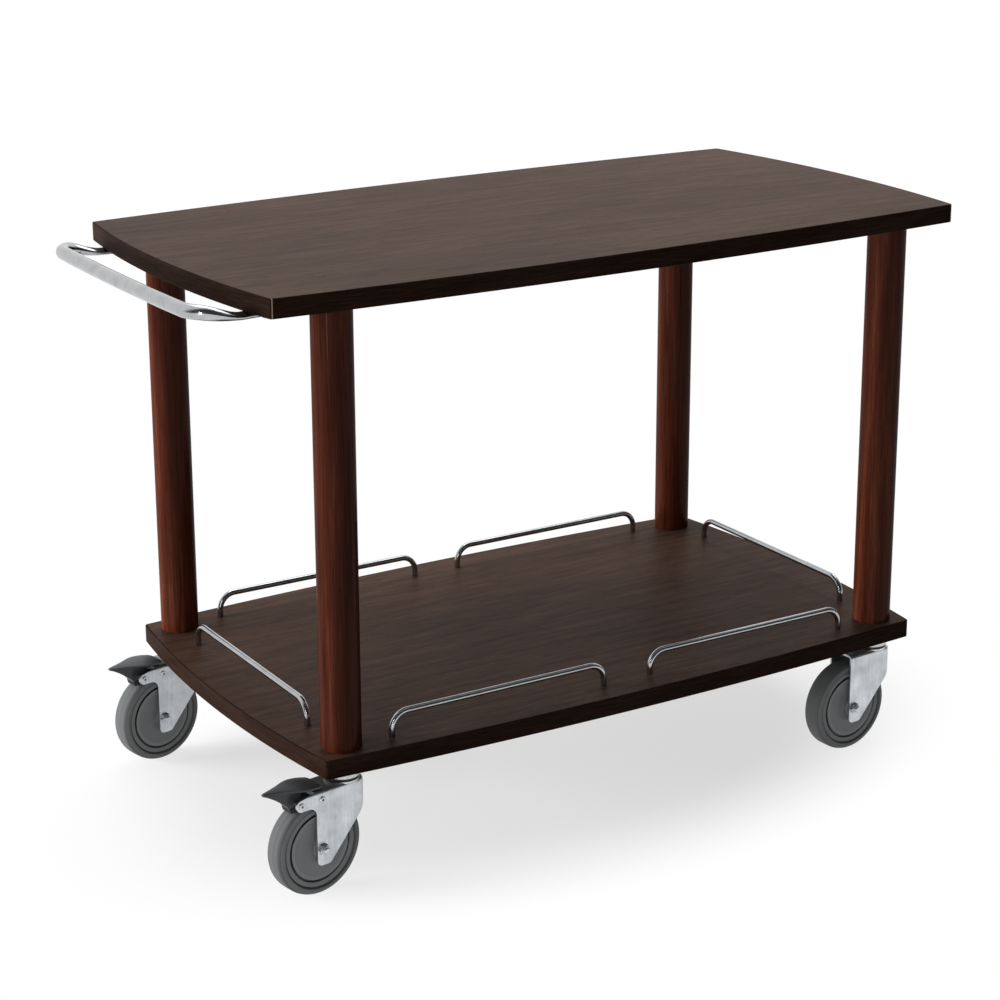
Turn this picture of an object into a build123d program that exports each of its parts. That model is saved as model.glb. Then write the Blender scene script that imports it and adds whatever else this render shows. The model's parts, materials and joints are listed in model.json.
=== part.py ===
from build123d import *
import os
from math import cos, radians, sin

# Two-tier food service trolley on four swivel casters.
# Millimetres. +Z is up, +X is the way the trolley is pushed and the handle is at the -X end.
# The floor is Z = 0, and the origin is on it, under the middle of the trolley's overall length.

# ---- boards ----------------------------------------------------------------------------------
board_thickness = 24.0        # core board with its laminate
laminate_thickness = 1.0
edge_band_thickness = 2.0
edge_band_rounding = 0.8
board_corner_radius = 5.0

top_length = 1010.0           # between the corners, before the bow is added
top_width = 522.0
top_end_bow = 21.0            # how far each end bulges past its corners
top_side_bow = 18.0

shelf_shorter = 104.0         # than the top, between the corners
shelf_wider = 19.0
shelf_end_bow = 21.0
shelf_side_bow = 16.0

# ---- posts and the fixings that screw them between the boards ---------------------------------
post_diameter = 51.0
post_length = 551.0
post_inset_x = 38.0           # from the corners of the shelf in to the centre of each post
post_inset_y = 34.0
post_edge_easing = 1.0

stud_diameter = 10.0          # joins the insert in the top board to the insert in the post
stud_length = 29.0
stud_insert_diameter = 14.0
stud_insert_length = 15.0
stem_insert_diameter = 18.0   # takes the caster's stem in the foot of the post
stem_insert_length = 30.0
insert_bore_extra = 2.0       # how much deeper a bore is than what sits in it
fixed_clearance = 0.04        # radial, between a fixing and its bore

# ---- push handle ------------------------------------------------------------------------------
handle_tube_diameter = 18.0
handle_tube_wall = 1.5
handle_width = 402.0          # between the centre lines of the two arms
handle_reach = 75.0           # centre of the bar past the corners of the top
handle_rise = 9.5             # how far the bar stands above the flattened ends
handle_bend_radius = 39.0
handle_neck_length = 19.0     # over which each arm goes from round to flattened
handle_flat_gap = 1.5         # between the neck and the edge of the board
handle_post_gap = 3.0         # between the plugs in the flattened ends and the posts
handle_flat_width = 23.0
handle_flat_height = 9.0
handle_plug_lip = 2.0
handle_plug_depth = 7.0
handle_screw_diameter = 5.0
handle_screw_head_diameter = 10.0
handle_screw_head_height = 3.6
handle_screw_bite = 13.0      # how far the screw enters the board
handle_screw_spacing = 24.0
handle_screw_end = 12.0       # from the end of the tube to the nearest screw
seat_gap = 0.1                # between the flattened tube and the board it is screwed against

# ---- gallery rails on the lower shelf ---------------------------------------------------------
rail_wire_diameter = 8.0
rail_height = 31.0            # centre line of the wire above the shelf
rail_bend_radius = 22.0
rail_foot_depth = 10.0        # how far each foot enters the shelf
rail_edge_x = 31.0            # from the corners of the shelf in to an end rail
rail_edge_y = 25.0            # and in to a side rail
rail_post_distance = 66.0     # from the centre of a post to the nearest foot of a side rail
end_rail_post_distance = 76.0  # and of an end rail
side_rail_half_gap = 36.0     # from the middle of a side to the nearest foot
rail_screw_diameter = 4.0
rail_screw_bite = 8.0         # how far the screw enters the foot
rail_screw_head_diameter = 8.0
rail_screw_head_height = 2.6
rail_screw_recess = 0.6       # how far the head lies below the underside
screw_socket_share = 0.5      # hex socket across its flats, to the head's diameter
screw_socket_depth_share = 0.5  # to the head's height

# ---- casters ----------------------------------------------------------------------------------
wheel_diameter = 125.0
tyre_width = 30.0
tyre_thickness = 17.0
tyre_shoulder_radius = 8.0
tyre_ring_inset = 2.0         # how far the flat ring beside the hub stands in from the tyre's sides
tyre_ring_width = 6.0
hub_groove_width = 3.0
hub_groove_depth = 2.6
hub_rim_width = 3.0           # the flat rim inside the groove
hub_dish_depth = 2.5          # how far the disc falls away from its rim to the boss
hub_boss_diameter = 26.0
caster_height = 155.0         # floor to the underside of the lower shelf
caster_trail = 45.0           # from the swivel axis back to the wheel's axle
running_clearance = 0.05      # radial, between a shaft and what turns on it
moving_gap = 0.3              # between flat faces that pass each other

fork_gap = 36.0               # between the cheeks
fork_sheet = 2.5
fork_bend_radius = 5.0
fork_front = 24.0             # from the swivel axis forward to the nose of the fork
fork_nose_radius = 15.0       # of the fork's front corners, seen from above
fork_crown_back = 56.0        # from the swivel axis back to the opening for the pedal
fork_leg_back = 9.0           # from the axle back to the trailing edge of the leg
fork_leg_front = 10.0         # from the axle forward to the tip of the leg
fork_tip_drop = 21.0          # from the axle down to the tip
fork_nose_drop = 31.0         # height of the nose under the crown
fork_tip_rounding = 7.0
fork_arch_radius = 11.0       # in the corner between the lobe and the leg's trailing edge
crown_radius = 22.0

head_height = 15.0            # from the crown of the fork up to the shelf
head_flange_diameter = 40.0
head_flange_height = 2.0
head_hex_across_flats = 30.0
head_cup_diameter = 46.0
head_cup_height = 7.5
head_cup_chamfer = 1.5
seal_diameter = 42.0
seal_height = 3.2
kingpin_diameter = 18.0
kingpin_collar_diameter = 26.0
kingpin_collar_height = 3.0
stem_diameter = 12.0
stem_bite = 28.0              # how far the stem enters the post

axle_bolt_diameter = 8.0
axle_head_across_flats = 13.0
axle_head_height = 5.0
axle_nut_height = 6.5
axle_nut_collar_height = 2.0  # the round end of the nut, part of its height
axle_nut_collar_diameter = 11.0
axle_bolt_end = 1.5           # how far the bolt's end shows past the nut
axle_sleeve_diameter = 12.0

# ---- wheel brake of the two casters at the handle end ------------------------------------------
brake_pivot_back = 76.0       # from the swivel axis
brake_pivot_drop = 12.0       # under the crown
brake_pin_diameter = 6.0
brake_pin_head_diameter = 8.5
brake_pin_head_height = 1.5
brake_spacer_back = 45.0
brake_spacer_diameter = 5.0
brake_lobe_radius = 7.5
brake_travel = 15.0           # degrees that the pedal's tip moves down
pedal_inner_end = 44.0
pedal_tip = 117.0
pedal_half_width = 21.0
pedal_inner_share = 0.8       # width at the inner end, to the widest
pedal_widest_share = 0.42     # where the tread is widest, along its length
pedal_taper_share = 0.76      # where it has drawn in towards the tip
pedal_taper_width_share = 0.56
pedal_tip_rounding = 2.5      # of the tip, seen from above
pedal_thickness = 4.5
pedal_tip_thickness = 3.0
pedal_crown = 2.5             # how far the tread bulges up between its ends
pedal_inner_drop = 9.0        # under the shelf at the inner end
pedal_tip_drop = 8.0          # under the shelf at the tip
pedal_arm_thickness = 4.0
pedal_arm_radius = 7.0
pedal_arm_reach = 11.0        # from the pivot out to the far edge of the arms under the tread
shoe_gap = 0.5                # between the shoe and the tyre when the brake is on
shoe_thickness = 6.0
shoe_half_angle = 6.0         # degrees of the tyre that the shoe covers each side of its middle
shoe_middle_angle = 55.0      # degrees above the level of the axle, with the brake on

# Angle of each caster about its swivel axis: 0 trails straight back towards the handle end.
caster_rest_angles = {
    "rear_right": 9.0,
    "rear_left": 11.0,
    "front_right": 4.0,
    "front_left": 6.0,
}
braked_casters = ("rear_right", "rear_left")
corners = {
    "rear_right": (-1, -1),
    "rear_left": (-1, 1),
    "front_right": (1, -1),
    "front_left": (1, 1),
}

# ---- levels and places that follow from the sizes above ----------------------------------------
shelf_length = top_length - shelf_shorter
shelf_width = top_width + shelf_wider
wheel_radius = wheel_diameter / 2
shelf_bottom = caster_height
shelf_top = shelf_bottom + board_thickness
top_bottom = shelf_top + post_length
crown_top = caster_height - head_height
brake_level = crown_top - brake_pivot_drop
fork_width = fork_gap + 2 * fork_sheet
handle_radius = handle_tube_diameter / 2
handle_flat_level = top_bottom - seat_gap - handle_flat_height / 2
handle_bar_level = handle_flat_level + handle_rise
wire_radius = rail_wire_diameter / 2

# The handle makes the trolley longer at one end, so the boards stand off the origin by half of that.
deck_x = (handle_reach + handle_radius - top_end_bow) / 2
handle_bar_x = deck_x - top_length / 2 - handle_reach
top_end_radius = (top_width**2 / 4 + top_end_bow**2) / (2 * top_end_bow)
top_end_sag = top_end_radius - (top_end_radius**2 - handle_width**2 / 4) ** 0.5
handle_flat_x = deck_x - top_length / 2 - top_end_bow + top_end_sag - handle_flat_gap
handle_neck_x = handle_flat_x - handle_neck_length

post_reach_x = shelf_length / 2 - post_inset_x
post_reach_y = shelf_width / 2 - post_inset_y
handle_end_x = deck_x - post_reach_x - post_diameter / 2 - handle_post_gap - handle_plug_lip
post_places = {name: (deck_x + sx * post_reach_x, sy * post_reach_y) for name, (sx, sy) in corners.items()}

rail_feet = {}
for side_name, side in (("right", -1), ("left", 1)):
    for half_name, half in (("rear", -1), ("front", 1)):
        rail_feet[f"rail_{side_name}_{half_name}"] = (
            (deck_x + half * side_rail_half_gap, side * (shelf_width / 2 - rail_edge_y)),
            (deck_x + half * (post_reach_x - rail_post_distance), side * (shelf_width / 2 - rail_edge_y)),
        )
for end_name, end in (("rear_end", -1), ("front_end", 1)):
    rail_feet[f"rail_{end_name}"] = (
        (deck_x + end * (shelf_length / 2 - rail_edge_x), end_rail_post_distance - post_reach_y),
        (deck_x + end * (shelf_length / 2 - rail_edge_x), post_reach_y - end_rail_post_distance),
    )
all_rail_feet = [foot for feet in rail_feet.values() for foot in feet]

os.makedirs("parts", exist_ok=True)


def write(made, name):
    """Labels a finished piece and writes it under its own name."""
    made.part.label = name
    export_step(made.part, f"parts/{name}.step")


def at(x, y, z):
    """A level work plane with its origin at a place on the trolley."""
    return Plane((x, y, z))


# ---- boards ------------------------------------------------------------------------------------
def bowed_face(length, width, end_bow, side_bow, inset=0.0):
    """A rectangle whose four sides all bulge outwards, with small round corners, drawn inset all round."""
    x = length / 2 - inset
    y = width / 2 - inset
    with BuildSketch() as face:
        with BuildLine():
            ThreePointArc((-x, -y), (0, -y - side_bow), (x, -y))
            ThreePointArc((x, -y), (x + end_bow, 0), (x, y))
            ThreePointArc((x, y), (0, y + side_bow), (-x, y))
            ThreePointArc((-x, y), (-x - end_bow, 0), (-x, -y))
        make_face()
        fillet(face.vertices(), board_corner_radius - inset)
    return face.sketch


def board_layer(outline, bottom, thickness, bores):
    """One flat layer of a board inside its edge band, with bores given as (places, diameter, from, to)."""
    with BuildPart() as layer:
        with BuildSketch(at(deck_x, 0, bottom)):
            add(bowed_face(*outline, inset=edge_band_thickness))
        extrude(amount=thickness)
        for places, diameter, low, high in bores:
            with BuildSketch(at(0, 0, low)):
                with Locations(*places):
                    Circle(diameter / 2 + fixed_clearance)
            extrude(amount=high - low, mode=Mode.SUBTRACT)
    return layer


def edge_band(outline, bottom):
    """The lipping that goes round the edge of a board, its outer edges eased."""
    with BuildPart() as band:
        with BuildSketch(at(deck_x, 0, bottom)):
            add(bowed_face(*outline))
        extrude(amount=board_thickness)
        rims = band.edges().filter_by(GeomType.CIRCLE).group_by(Axis.Z)
        chamfer(rims[0] + rims[-1], edge_band_rounding)
        with BuildSketch(at(deck_x, 0, bottom)):
            add(bowed_face(*outline, inset=edge_band_thickness))
        extrude(amount=board_thickness, mode=Mode.SUBTRACT)
    return band


top_outline = (top_length, top_width, top_end_bow, top_side_bow)
shelf_outline = (shelf_length, shelf_width, shelf_end_bow, shelf_side_bow)
core_thickness = board_thickness - laminate_thickness
top_core_surface = top_bottom + core_thickness
shelf_core_surface = shelf_bottom + core_thickness
post_centres = list(post_places.values())
handle_screw_places = [
    (handle_end_x - handle_screw_end - step * handle_screw_spacing, side * handle_width / 2)
    for step in (0, 1)
    for side in (-1, 1)
]
rail_foot_level = shelf_top - rail_foot_depth
rail_head_level = shelf_bottom + rail_screw_recess

top_bores = [
    (post_centres, stud_insert_diameter, top_bottom, top_bottom + stud_insert_length + insert_bore_extra),
    (handle_screw_places, handle_screw_diameter, top_bottom, top_bottom + handle_screw_bite + insert_bore_extra),
]
shelf_bores = [
    (post_centres, stem_diameter, shelf_bottom, shelf_core_surface),
    (all_rail_feet, rail_screw_diameter, shelf_bottom, shelf_core_surface),
    (all_rail_feet, rail_wire_diameter, rail_foot_level, shelf_core_surface),
    (all_rail_feet, rail_screw_head_diameter, shelf_bottom, rail_head_level + rail_screw_head_height),
]
shelf_laminate_bores = [
    (post_centres, stem_diameter, shelf_core_surface, shelf_top),
    (all_rail_feet, rail_wire_diameter, shelf_core_surface, shelf_top),
]
write(board_layer(top_outline, top_bottom, core_thickness, top_bores), "top_board")
write(board_layer(top_outline, top_core_surface, laminate_thickness, []), "top_laminate")
write(edge_band(top_outline, top_bottom), "top_edge_band")
write(board_layer(shelf_outline, shelf_bottom, core_thickness, shelf_bores), "shelf_board")
write(board_layer(shelf_outline, shelf_core_surface, laminate_thickness, shelf_laminate_bores), "shelf_laminate")
write(edge_band(shelf_outline, shelf_bottom), "shelf_edge_band")


# ---- posts and their fixings ---------------------------------------------------------------------
def post(x, y):
    """A turned round post, bored at the foot for the stem insert and at the head for the stud insert."""
    with BuildPart() as made:
        with BuildSketch(at(x, y, shelf_top)):
            Circle(post_diameter / 2)
        extrude(amount=post_length)
        chamfer(made.edges().filter_by(GeomType.CIRCLE), post_edge_easing)
        with BuildSketch(at(x, y, shelf_top)):
            Circle(stem_insert_diameter / 2 + fixed_clearance)
        extrude(amount=stem_insert_length + insert_bore_extra, mode=Mode.SUBTRACT)
        with BuildSketch(at(x, y, top_bottom)):
            Circle(stud_insert_diameter / 2 + fixed_clearance)
        extrude(amount=-stud_insert_length - insert_bore_extra, mode=Mode.SUBTRACT)
    return made


def ring_sketch(outer_diameter, bore_diameter):
    """Ring faces at the current locations."""
    Circle(outer_diameter / 2)
    Circle(bore_diameter / 2, mode=Mode.SUBTRACT)


for corner_name, (post_x, post_y) in post_places.items():
    write(post(post_x, post_y), f"post_{corner_name}")

stud_bore = stud_diameter + 2 * fixed_clearance
with BuildPart() as stud_inserts:
    with BuildSketch(at(0, 0, top_bottom)):
        with Locations(*post_places.values()):
            ring_sketch(stud_insert_diameter, stud_bore)
    extrude(amount=stud_insert_length)
    with BuildSketch(at(0, 0, top_bottom - fixed_clearance)):
        with Locations(*post_places.values()):
            ring_sketch(stud_insert_diameter, stud_bore)
    extrude(amount=-stud_insert_length)
write(stud_inserts, "stud_inserts")

with BuildPart() as post_studs:
    with BuildSketch(at(0, 0, top_bottom - stud_length / 2)):
        with Locations(*post_places.values()):
            Circle(stud_diameter / 2)
    extrude(amount=stud_length)
write(post_studs, "post_studs")

with BuildPart() as stem_inserts:
    with BuildSketch(at(0, 0, shelf_top)):
        with Locations(*post_places.values()):
            ring_sketch(stem_insert_diameter, stem_diameter + 2 * fixed_clearance)
    extrude(amount=stem_insert_length)
write(stem_inserts, "stem_inserts")


# ---- push handle ---------------------------------------------------------------------------------
arm_y = handle_width / 2
neck_steps = 6                # sections from round to flattened


def neck_sketch(side, share, inset):
    """The section of one arm at a share of the way along its neck, drawn inset all round."""
    eased = share * share * (3 - 2 * share)
    x = handle_neck_x + share * handle_neck_length
    level = handle_bar_level + eased * (handle_flat_level - handle_bar_level)
    half_width = handle_radius + eased * (handle_flat_width / 2 - handle_radius)
    half_height = handle_radius + eased * (handle_flat_height / 2 - handle_radius)
    with BuildSketch(Plane((x, side * arm_y, level), x_dir=(0, 1, 0), z_dir=(1, 0, 0))) as section:
        Ellipse(half_width - inset, half_height - inset)
    return section.sketch


def arm_form(side, inset):
    """One neck and the flattened end beyond it, filled in."""
    with BuildPart() as form:
        for step in range(neck_steps + 1):
            add(neck_sketch(side, step / neck_steps, inset))
        loft()
        extrude(neck_sketch(side, 1, inset), amount=handle_end_x - handle_flat_x, dir=(1, 0, 0))
    return form.part


def hollow_arm(side):
    """The same with the tube's wall."""
    outer = arm_form(side, 0)
    inner = arm_form(side, handle_tube_wall)
    with BuildPart() as arm:
        add(outer)
        add(inner, mode=Mode.SUBTRACT)
    return arm.part


hollow_arms = [hollow_arm(side) for side in (-1, 1)]
handle_route = [
    (handle_neck_x, arm_y, handle_bar_level),
    (handle_bar_x, arm_y, handle_bar_level),
    (handle_bar_x, -arm_y, handle_bar_level),
    (handle_neck_x, -arm_y, handle_bar_level),
]

with BuildPart() as handle_tube:
    with BuildLine() as handle_path:
        FilletPolyline(*handle_route, radius=handle_bend_radius)
    with BuildSketch(Plane(origin=handle_path.line @ 0, z_dir=handle_path.line % 0)):
        Circle(handle_radius)
        Circle(handle_radius - handle_tube_wall, mode=Mode.SUBTRACT)
    sweep()
    for arm in hollow_arms:
        add(arm)
    with BuildSketch(at(0, 0, handle_flat_level - handle_flat_height)):
        with Locations(*handle_screw_places):
            Circle(handle_screw_diameter / 2 + fixed_clearance)
    extrude(amount=2 * handle_flat_height, mode=Mode.SUBTRACT)
write(handle_tube, "handle_tube")

plug_inset = handle_tube_wall + fixed_clearance
plug_plane = Plane((handle_end_x, 0, handle_flat_level), x_dir=(0, 1, 0), z_dir=(-1, 0, 0))
with BuildPart() as handle_end_plugs:
    with BuildSketch(plug_plane):
        with Locations((-arm_y, 0), (arm_y, 0)):
            Ellipse(handle_flat_width / 2, handle_flat_height / 2)
    extrude(amount=-handle_plug_lip)
    with BuildSketch(plug_plane):
        with Locations((-arm_y, 0), (arm_y, 0)):
            Ellipse(handle_flat_width / 2 - plug_inset, handle_flat_height / 2 - plug_inset)
    extrude(amount=handle_plug_depth)
write(handle_end_plugs, "handle_end_plugs")


def socket_screws(places, head_level, head_diameter, head_height, shank_diameter, shank_top):
    """Screws driven from below: a round head with a hex socket, and a plain shank up to shank_top."""
    with BuildPart() as made:
        with BuildSketch(at(0, 0, head_level)):
            with Locations(*places):
                Circle(head_diameter / 2)
        extrude(amount=head_height)
        with BuildSketch(at(0, 0, head_level)):
            with Locations(*places):
                Circle(shank_diameter / 2)
        extrude(amount=shank_top - head_level)
        with BuildSketch(at(0, 0, head_level)):
            with Locations(*places):
                RegularPolygon(screw_socket_share * head_diameter / 2, 6, major_radius=False)
        extrude(amount=screw_socket_depth_share * head_height, mode=Mode.SUBTRACT)
    return made


handle_head_level = handle_flat_level - handle_flat_height / 2 - handle_screw_head_height
write(
    socket_screws(
        handle_screw_places,
        handle_head_level,
        handle_screw_head_diameter,
        handle_screw_head_height,
        handle_screw_diameter,
        top_bottom + handle_screw_bite,
    ),
    "handle_screws",
)


# ---- gallery rails --------------------------------------------------------------------------------
def rail(start, end):
    """A wire rail: two feet let into the shelf, bent over into one straight bar."""
    top = shelf_top + rail_height
    with BuildPart() as made:
        with BuildLine() as path:
            FilletPolyline(
                (*start, rail_foot_level),
                (*start, top),
                (*end, top),
                (*end, rail_foot_level),
                radius=rail_bend_radius,
            )
        with BuildSketch(Plane(origin=path.line @ 0, z_dir=path.line % 0)):
            Circle(wire_radius)
        sweep()
        with BuildSketch(at(0, 0, rail_foot_level)):
            with Locations(start, end):
                Circle(rail_screw_diameter / 2 + fixed_clearance)
        extrude(amount=rail_screw_bite + insert_bore_extra, mode=Mode.SUBTRACT)
    return made


for rail_name, (rail_start, rail_end) in rail_feet.items():
    write(rail(rail_start, rail_end), rail_name)
write(
    socket_screws(
        all_rail_feet,
        rail_head_level,
        rail_screw_head_diameter,
        rail_screw_head_height,
        rail_screw_diameter,
        rail_foot_level + rail_screw_bite,
    ),
    "rail_screws",
)


# ---- casters ----------------------------------------------------------------------------------------
# Each caster has its own level plane on the floor under its swivel axis, with local +X trailing.
def caster_plane(name):
    angle = radians(caster_rest_angles[name])
    return Plane((*post_places[name], 0), x_dir=(-cos(angle), -sin(angle), 0), z_dir=(0, 0, 1))


def side_plane(place):
    """Looking at the caster from the side: local +X trailing, local +Y up."""
    return Plane(place.origin, x_dir=place.x_dir, z_dir=-place.y_dir)


def cross_plane(place):
    """Looking along the trail: local +X across the wheel, local +Y up."""
    return Plane(place.origin, x_dir=place.y_dir, z_dir=place.x_dir)


def axle_plane(place):
    """Across the wheel, with its origin on the axle in the middle of the wheel."""
    return Plane(side_plane(place).from_local_coords((caster_trail, wheel_radius, 0)),
                 x_dir=place.x_dir, z_dir=-place.y_dir)


def swivel_head(place):
    """The fixed head: stem, flange, hexagon, bearing cup and the kingpin riveted under the crown."""
    collar_top = crown_top - fork_sheet - moving_gap
    cup_bottom = crown_top + moving_gap + seal_height
    with BuildPart() as made:
        with BuildSketch(place.offset(shelf_bottom - head_flange_height)):
            Circle(head_flange_diameter / 2)
        extrude(amount=head_flange_height)
        with BuildSketch(place.offset(cup_bottom)):
            RegularPolygon(head_hex_across_flats / 2, 6, major_radius=False)
        extrude(amount=shelf_bottom - head_flange_height - cup_bottom)
        with BuildSketch(place.offset(cup_bottom)):
            Circle(head_cup_diameter / 2)
        extrude(amount=head_cup_height)
        chamfer(made.faces().filter_by(GeomType.CYLINDER).sort_by(SortBy.AREA)[-1].edges(), head_cup_chamfer)
        with BuildSketch(place.offset(collar_top)):
            Circle(kingpin_diameter / 2)
        extrude(amount=cup_bottom - collar_top)
        with BuildSketch(place.offset(collar_top - kingpin_collar_height)):
            Circle(kingpin_collar_diameter / 2)
        extrude(amount=kingpin_collar_height)
        with BuildSketch(place.offset(shelf_bottom)):
            Circle(stem_diameter / 2)
        extrude(amount=board_thickness + stem_bite)
    return made


def fork_blank(place, inset):
    """The fork's outer form, filled in and open to the back, drawn inset on its other sides."""
    front = fork_front - inset
    rear = brake_pivot_back + brake_lobe_radius
    bottom = wheel_radius - fork_tip_drop
    with BuildPart() as blank:
        with BuildSketch(place.offset(bottom)) as plan:
            with Locations((-front, 0)):
                Rectangle(front + rear, fork_width - 2 * inset, align=(Align.MIN, Align.CENTER))
            fillet(plan.vertices().group_by(Axis.X)[0], fork_nose_radius - inset)
        extrude(amount=crown_top - inset - bottom)
        top = blank.faces().sort_by(Axis.Z)[-1]
        fillet(top.edges().sort_by(Axis(place.origin, place.x_dir))[:-1], fork_bend_radius - inset)
    return blank.part


def fork_outline(braked):
    """The outline of the cheeks seen from the side, with a lobe for the pedal's pin on a braked fork."""
    tip_level = wheel_radius - fork_tip_drop
    leg_back = caster_trail + fork_leg_back
    lobe_top = brake_level + brake_lobe_radius
    lobe_bottom = brake_level - brake_lobe_radius
    lobe = [(brake_pivot_back, lobe_top), (brake_pivot_back, lobe_bottom), (leg_back, lobe_bottom)]
    with BuildSketch() as cheek:
        with BuildLine():
            Polyline(
                (-fork_front, crown_top),
                (leg_back, crown_top),
                *(lobe if braked else []),
                (leg_back, tip_level),
                (caster_trail - fork_leg_front, tip_level),
                (-fork_front, crown_top - fork_nose_drop),
                close=True,
            )
        make_face()
        fillet(cheek.vertices().group_by(Axis.Y)[0], fork_tip_rounding)
        if braked:
            fillet(cheek.vertices().sort_by_distance((leg_back, lobe_bottom))[0], fork_arch_radius)
            with Locations((brake_pivot_back, brake_level)):
                Circle(brake_lobe_radius)
    return cheek.sketch


def fork(place, braked):
    """A pressed fork: crown, rounded nose and two cheeks of one sheet, bored for the pins and the axle."""
    side = side_plane(place)
    outer = fork_blank(place, 0)
    inner = fork_blank(place, fork_sheet)
    outline = fork_outline(braked)
    pins = [(caster_trail, wheel_radius, axle_bolt_diameter)]
    if braked:
        pins.append((brake_pivot_back, brake_level, brake_pin_diameter))
        pins.append((brake_spacer_back, brake_level, brake_spacer_diameter))
    with BuildPart() as made:
        add(outer)
        add(inner, mode=Mode.SUBTRACT)
        with BuildSketch(side):
            add(outline)
        extrude(amount=fork_width, both=True, mode=Mode.INTERSECT)
        with BuildSketch(place.offset(crown_top - fork_bend_radius)):
            with Locations((fork_crown_back, 0)):
                Rectangle(brake_pivot_back, fork_gap, align=(Align.MIN, Align.CENTER))
        extrude(amount=fork_bend_radius, mode=Mode.SUBTRACT)
        with BuildSketch(place.offset(crown_top - fork_sheet)):
            Circle(crown_radius)
        extrude(amount=fork_sheet)
        with BuildSketch(place.offset(crown_top - fork_sheet)):
            Circle(kingpin_diameter / 2 + running_clearance)
        extrude(amount=fork_sheet, mode=Mode.SUBTRACT)
        for back, level, diameter in pins:
            with BuildSketch(side):
                with Locations((back, level)):
                    Circle(diameter / 2 + fixed_clearance)
            extrude(amount=fork_width, both=True, mode=Mode.SUBTRACT)
    return made


def axle_bolt(place):
    """Hex-head bolt through both cheeks, its head on the local -Y side of the caster."""
    axle = axle_plane(place)
    half = fork_width / 2
    with BuildPart() as made:
        with BuildSketch(axle.offset(half)):
            RegularPolygon(axle_head_across_flats / 2, 6, major_radius=False)
        extrude(amount=axle_head_height)
        with BuildSketch(axle.offset(half)):
            Circle(axle_bolt_diameter / 2)
        extrude(amount=-fork_width - axle_nut_height - axle_bolt_end)
    return made


def axle_nut(place):
    """Lock nut on the far cheek: a hexagon with a round collar."""
    axle = axle_plane(place)
    with BuildPart() as made:
        with BuildSketch(axle.offset(-fork_width / 2)):
            RegularPolygon(axle_head_across_flats / 2, 6, major_radius=False)
        extrude(amount=axle_nut_collar_height - axle_nut_height)
        with BuildSketch(axle.offset(-fork_width / 2)):
            Circle(axle_nut_collar_diameter / 2)
        extrude(amount=-axle_nut_height)
        with BuildSketch(axle.offset(-fork_width / 2)):
            Circle(axle_bolt_diameter / 2 + fixed_clearance)
        extrude(amount=-axle_nut_height, mode=Mode.SUBTRACT)
    return made


def axle_sleeve(place):
    """The spacer clamped between the cheeks, on which the hub turns."""
    with BuildPart() as made:
        with BuildSketch(axle_plane(place).offset(-fork_gap / 2)):
            ring_sketch(axle_sleeve_diameter, axle_bolt_diameter + 2 * fixed_clearance)
        extrude(amount=fork_gap)
    return made


def wheel_hub(place):
    """Moulded hub: rim under the tyre, a shallow dished disc each side, a bored boss and a groove."""
    rim = wheel_radius - tyre_thickness
    face = tyre_width / 2 - tyre_ring_inset
    boss_face = fork_gap / 2 - moving_gap
    boss = hub_boss_diameter / 2
    bore = axle_sleeve_diameter / 2 + running_clearance
    groove_inner = rim - hub_groove_width
    with BuildPart() as made:
        with BuildSketch(rolling_section(place)):
            with BuildLine():
                Polyline(
                    (bore, -boss_face),
                    (boss, -boss_face),
                    (boss, -face + hub_dish_depth),
                    (groove_inner - hub_rim_width, -face),
                    (groove_inner, -face),
                    (groove_inner, -face + hub_groove_depth),
                    (rim, -face + hub_groove_depth),
                    (rim, face - hub_groove_depth),
                    (groove_inner, face - hub_groove_depth),
                    (groove_inner, face),
                    (groove_inner - hub_rim_width, face),
                    (boss, face - hub_dish_depth),
                    (boss, boss_face),
                    (bore, boss_face),
                    close=True,
                )
            make_face()
        revolve(axis=Axis(axle_plane(place).origin, axle_plane(place).z_dir))
    return made


def rolling_section(place):
    """A half section through the wheel: local +X out from the axle, local +Y across the wheel."""
    axle = axle_plane(place)
    return Plane(axle.origin, x_dir=axle.x_dir, z_dir=axle.x_dir.cross(axle.z_dir))


def tyre(place):
    """Rubber tyre with rounded shoulders and, beside the hub, a flat ring that steps in from its sides."""
    rim = wheel_radius - tyre_thickness
    half = tyre_width / 2
    ring_face = half - tyre_ring_inset
    ring_edge = rim + tyre_ring_width
    with BuildPart() as made:
        with BuildSketch(rolling_section(place)) as section:
            with BuildLine():
                Polyline(
                    (wheel_radius, half),
                    (wheel_radius, -half),
                    (ring_edge + tyre_ring_inset, -half),
                    (ring_edge, -ring_face),
                    (rim, -ring_face),
                    (rim, ring_face),
                    (ring_edge, ring_face),
                    (ring_edge + tyre_ring_inset, half),
                    close=True,
                )
            make_face()
            fillet(section.vertices().group_by(Axis.X)[-1], tyre_shoulder_radius)
        revolve(axis=Axis(axle_plane(place).origin, axle_plane(place).z_dir))
    return made


# ---- brake ------------------------------------------------------------------------------------------
def brake_pins(place):
    """The pin that the pedal turns on and the spacer pin, each with a rivet head outside both cheeks."""
    side = side_plane(place)
    half = fork_width / 2
    with BuildPart() as made:
        for back, diameter in ((brake_pivot_back, brake_pin_diameter), (brake_spacer_back, brake_spacer_diameter)):
            with BuildSketch(side.offset(-half)):
                with Locations((back, brake_level)):
                    Circle(diameter / 2)
            extrude(amount=fork_width)
            for face, way in ((-half, -1), (half, 1)):
                with BuildSketch(side.offset(face)):
                    with Locations((back, brake_level)):
                        Circle(brake_pin_head_diameter / 2)
                extrude(amount=way * brake_pin_head_height)
    return made


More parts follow.
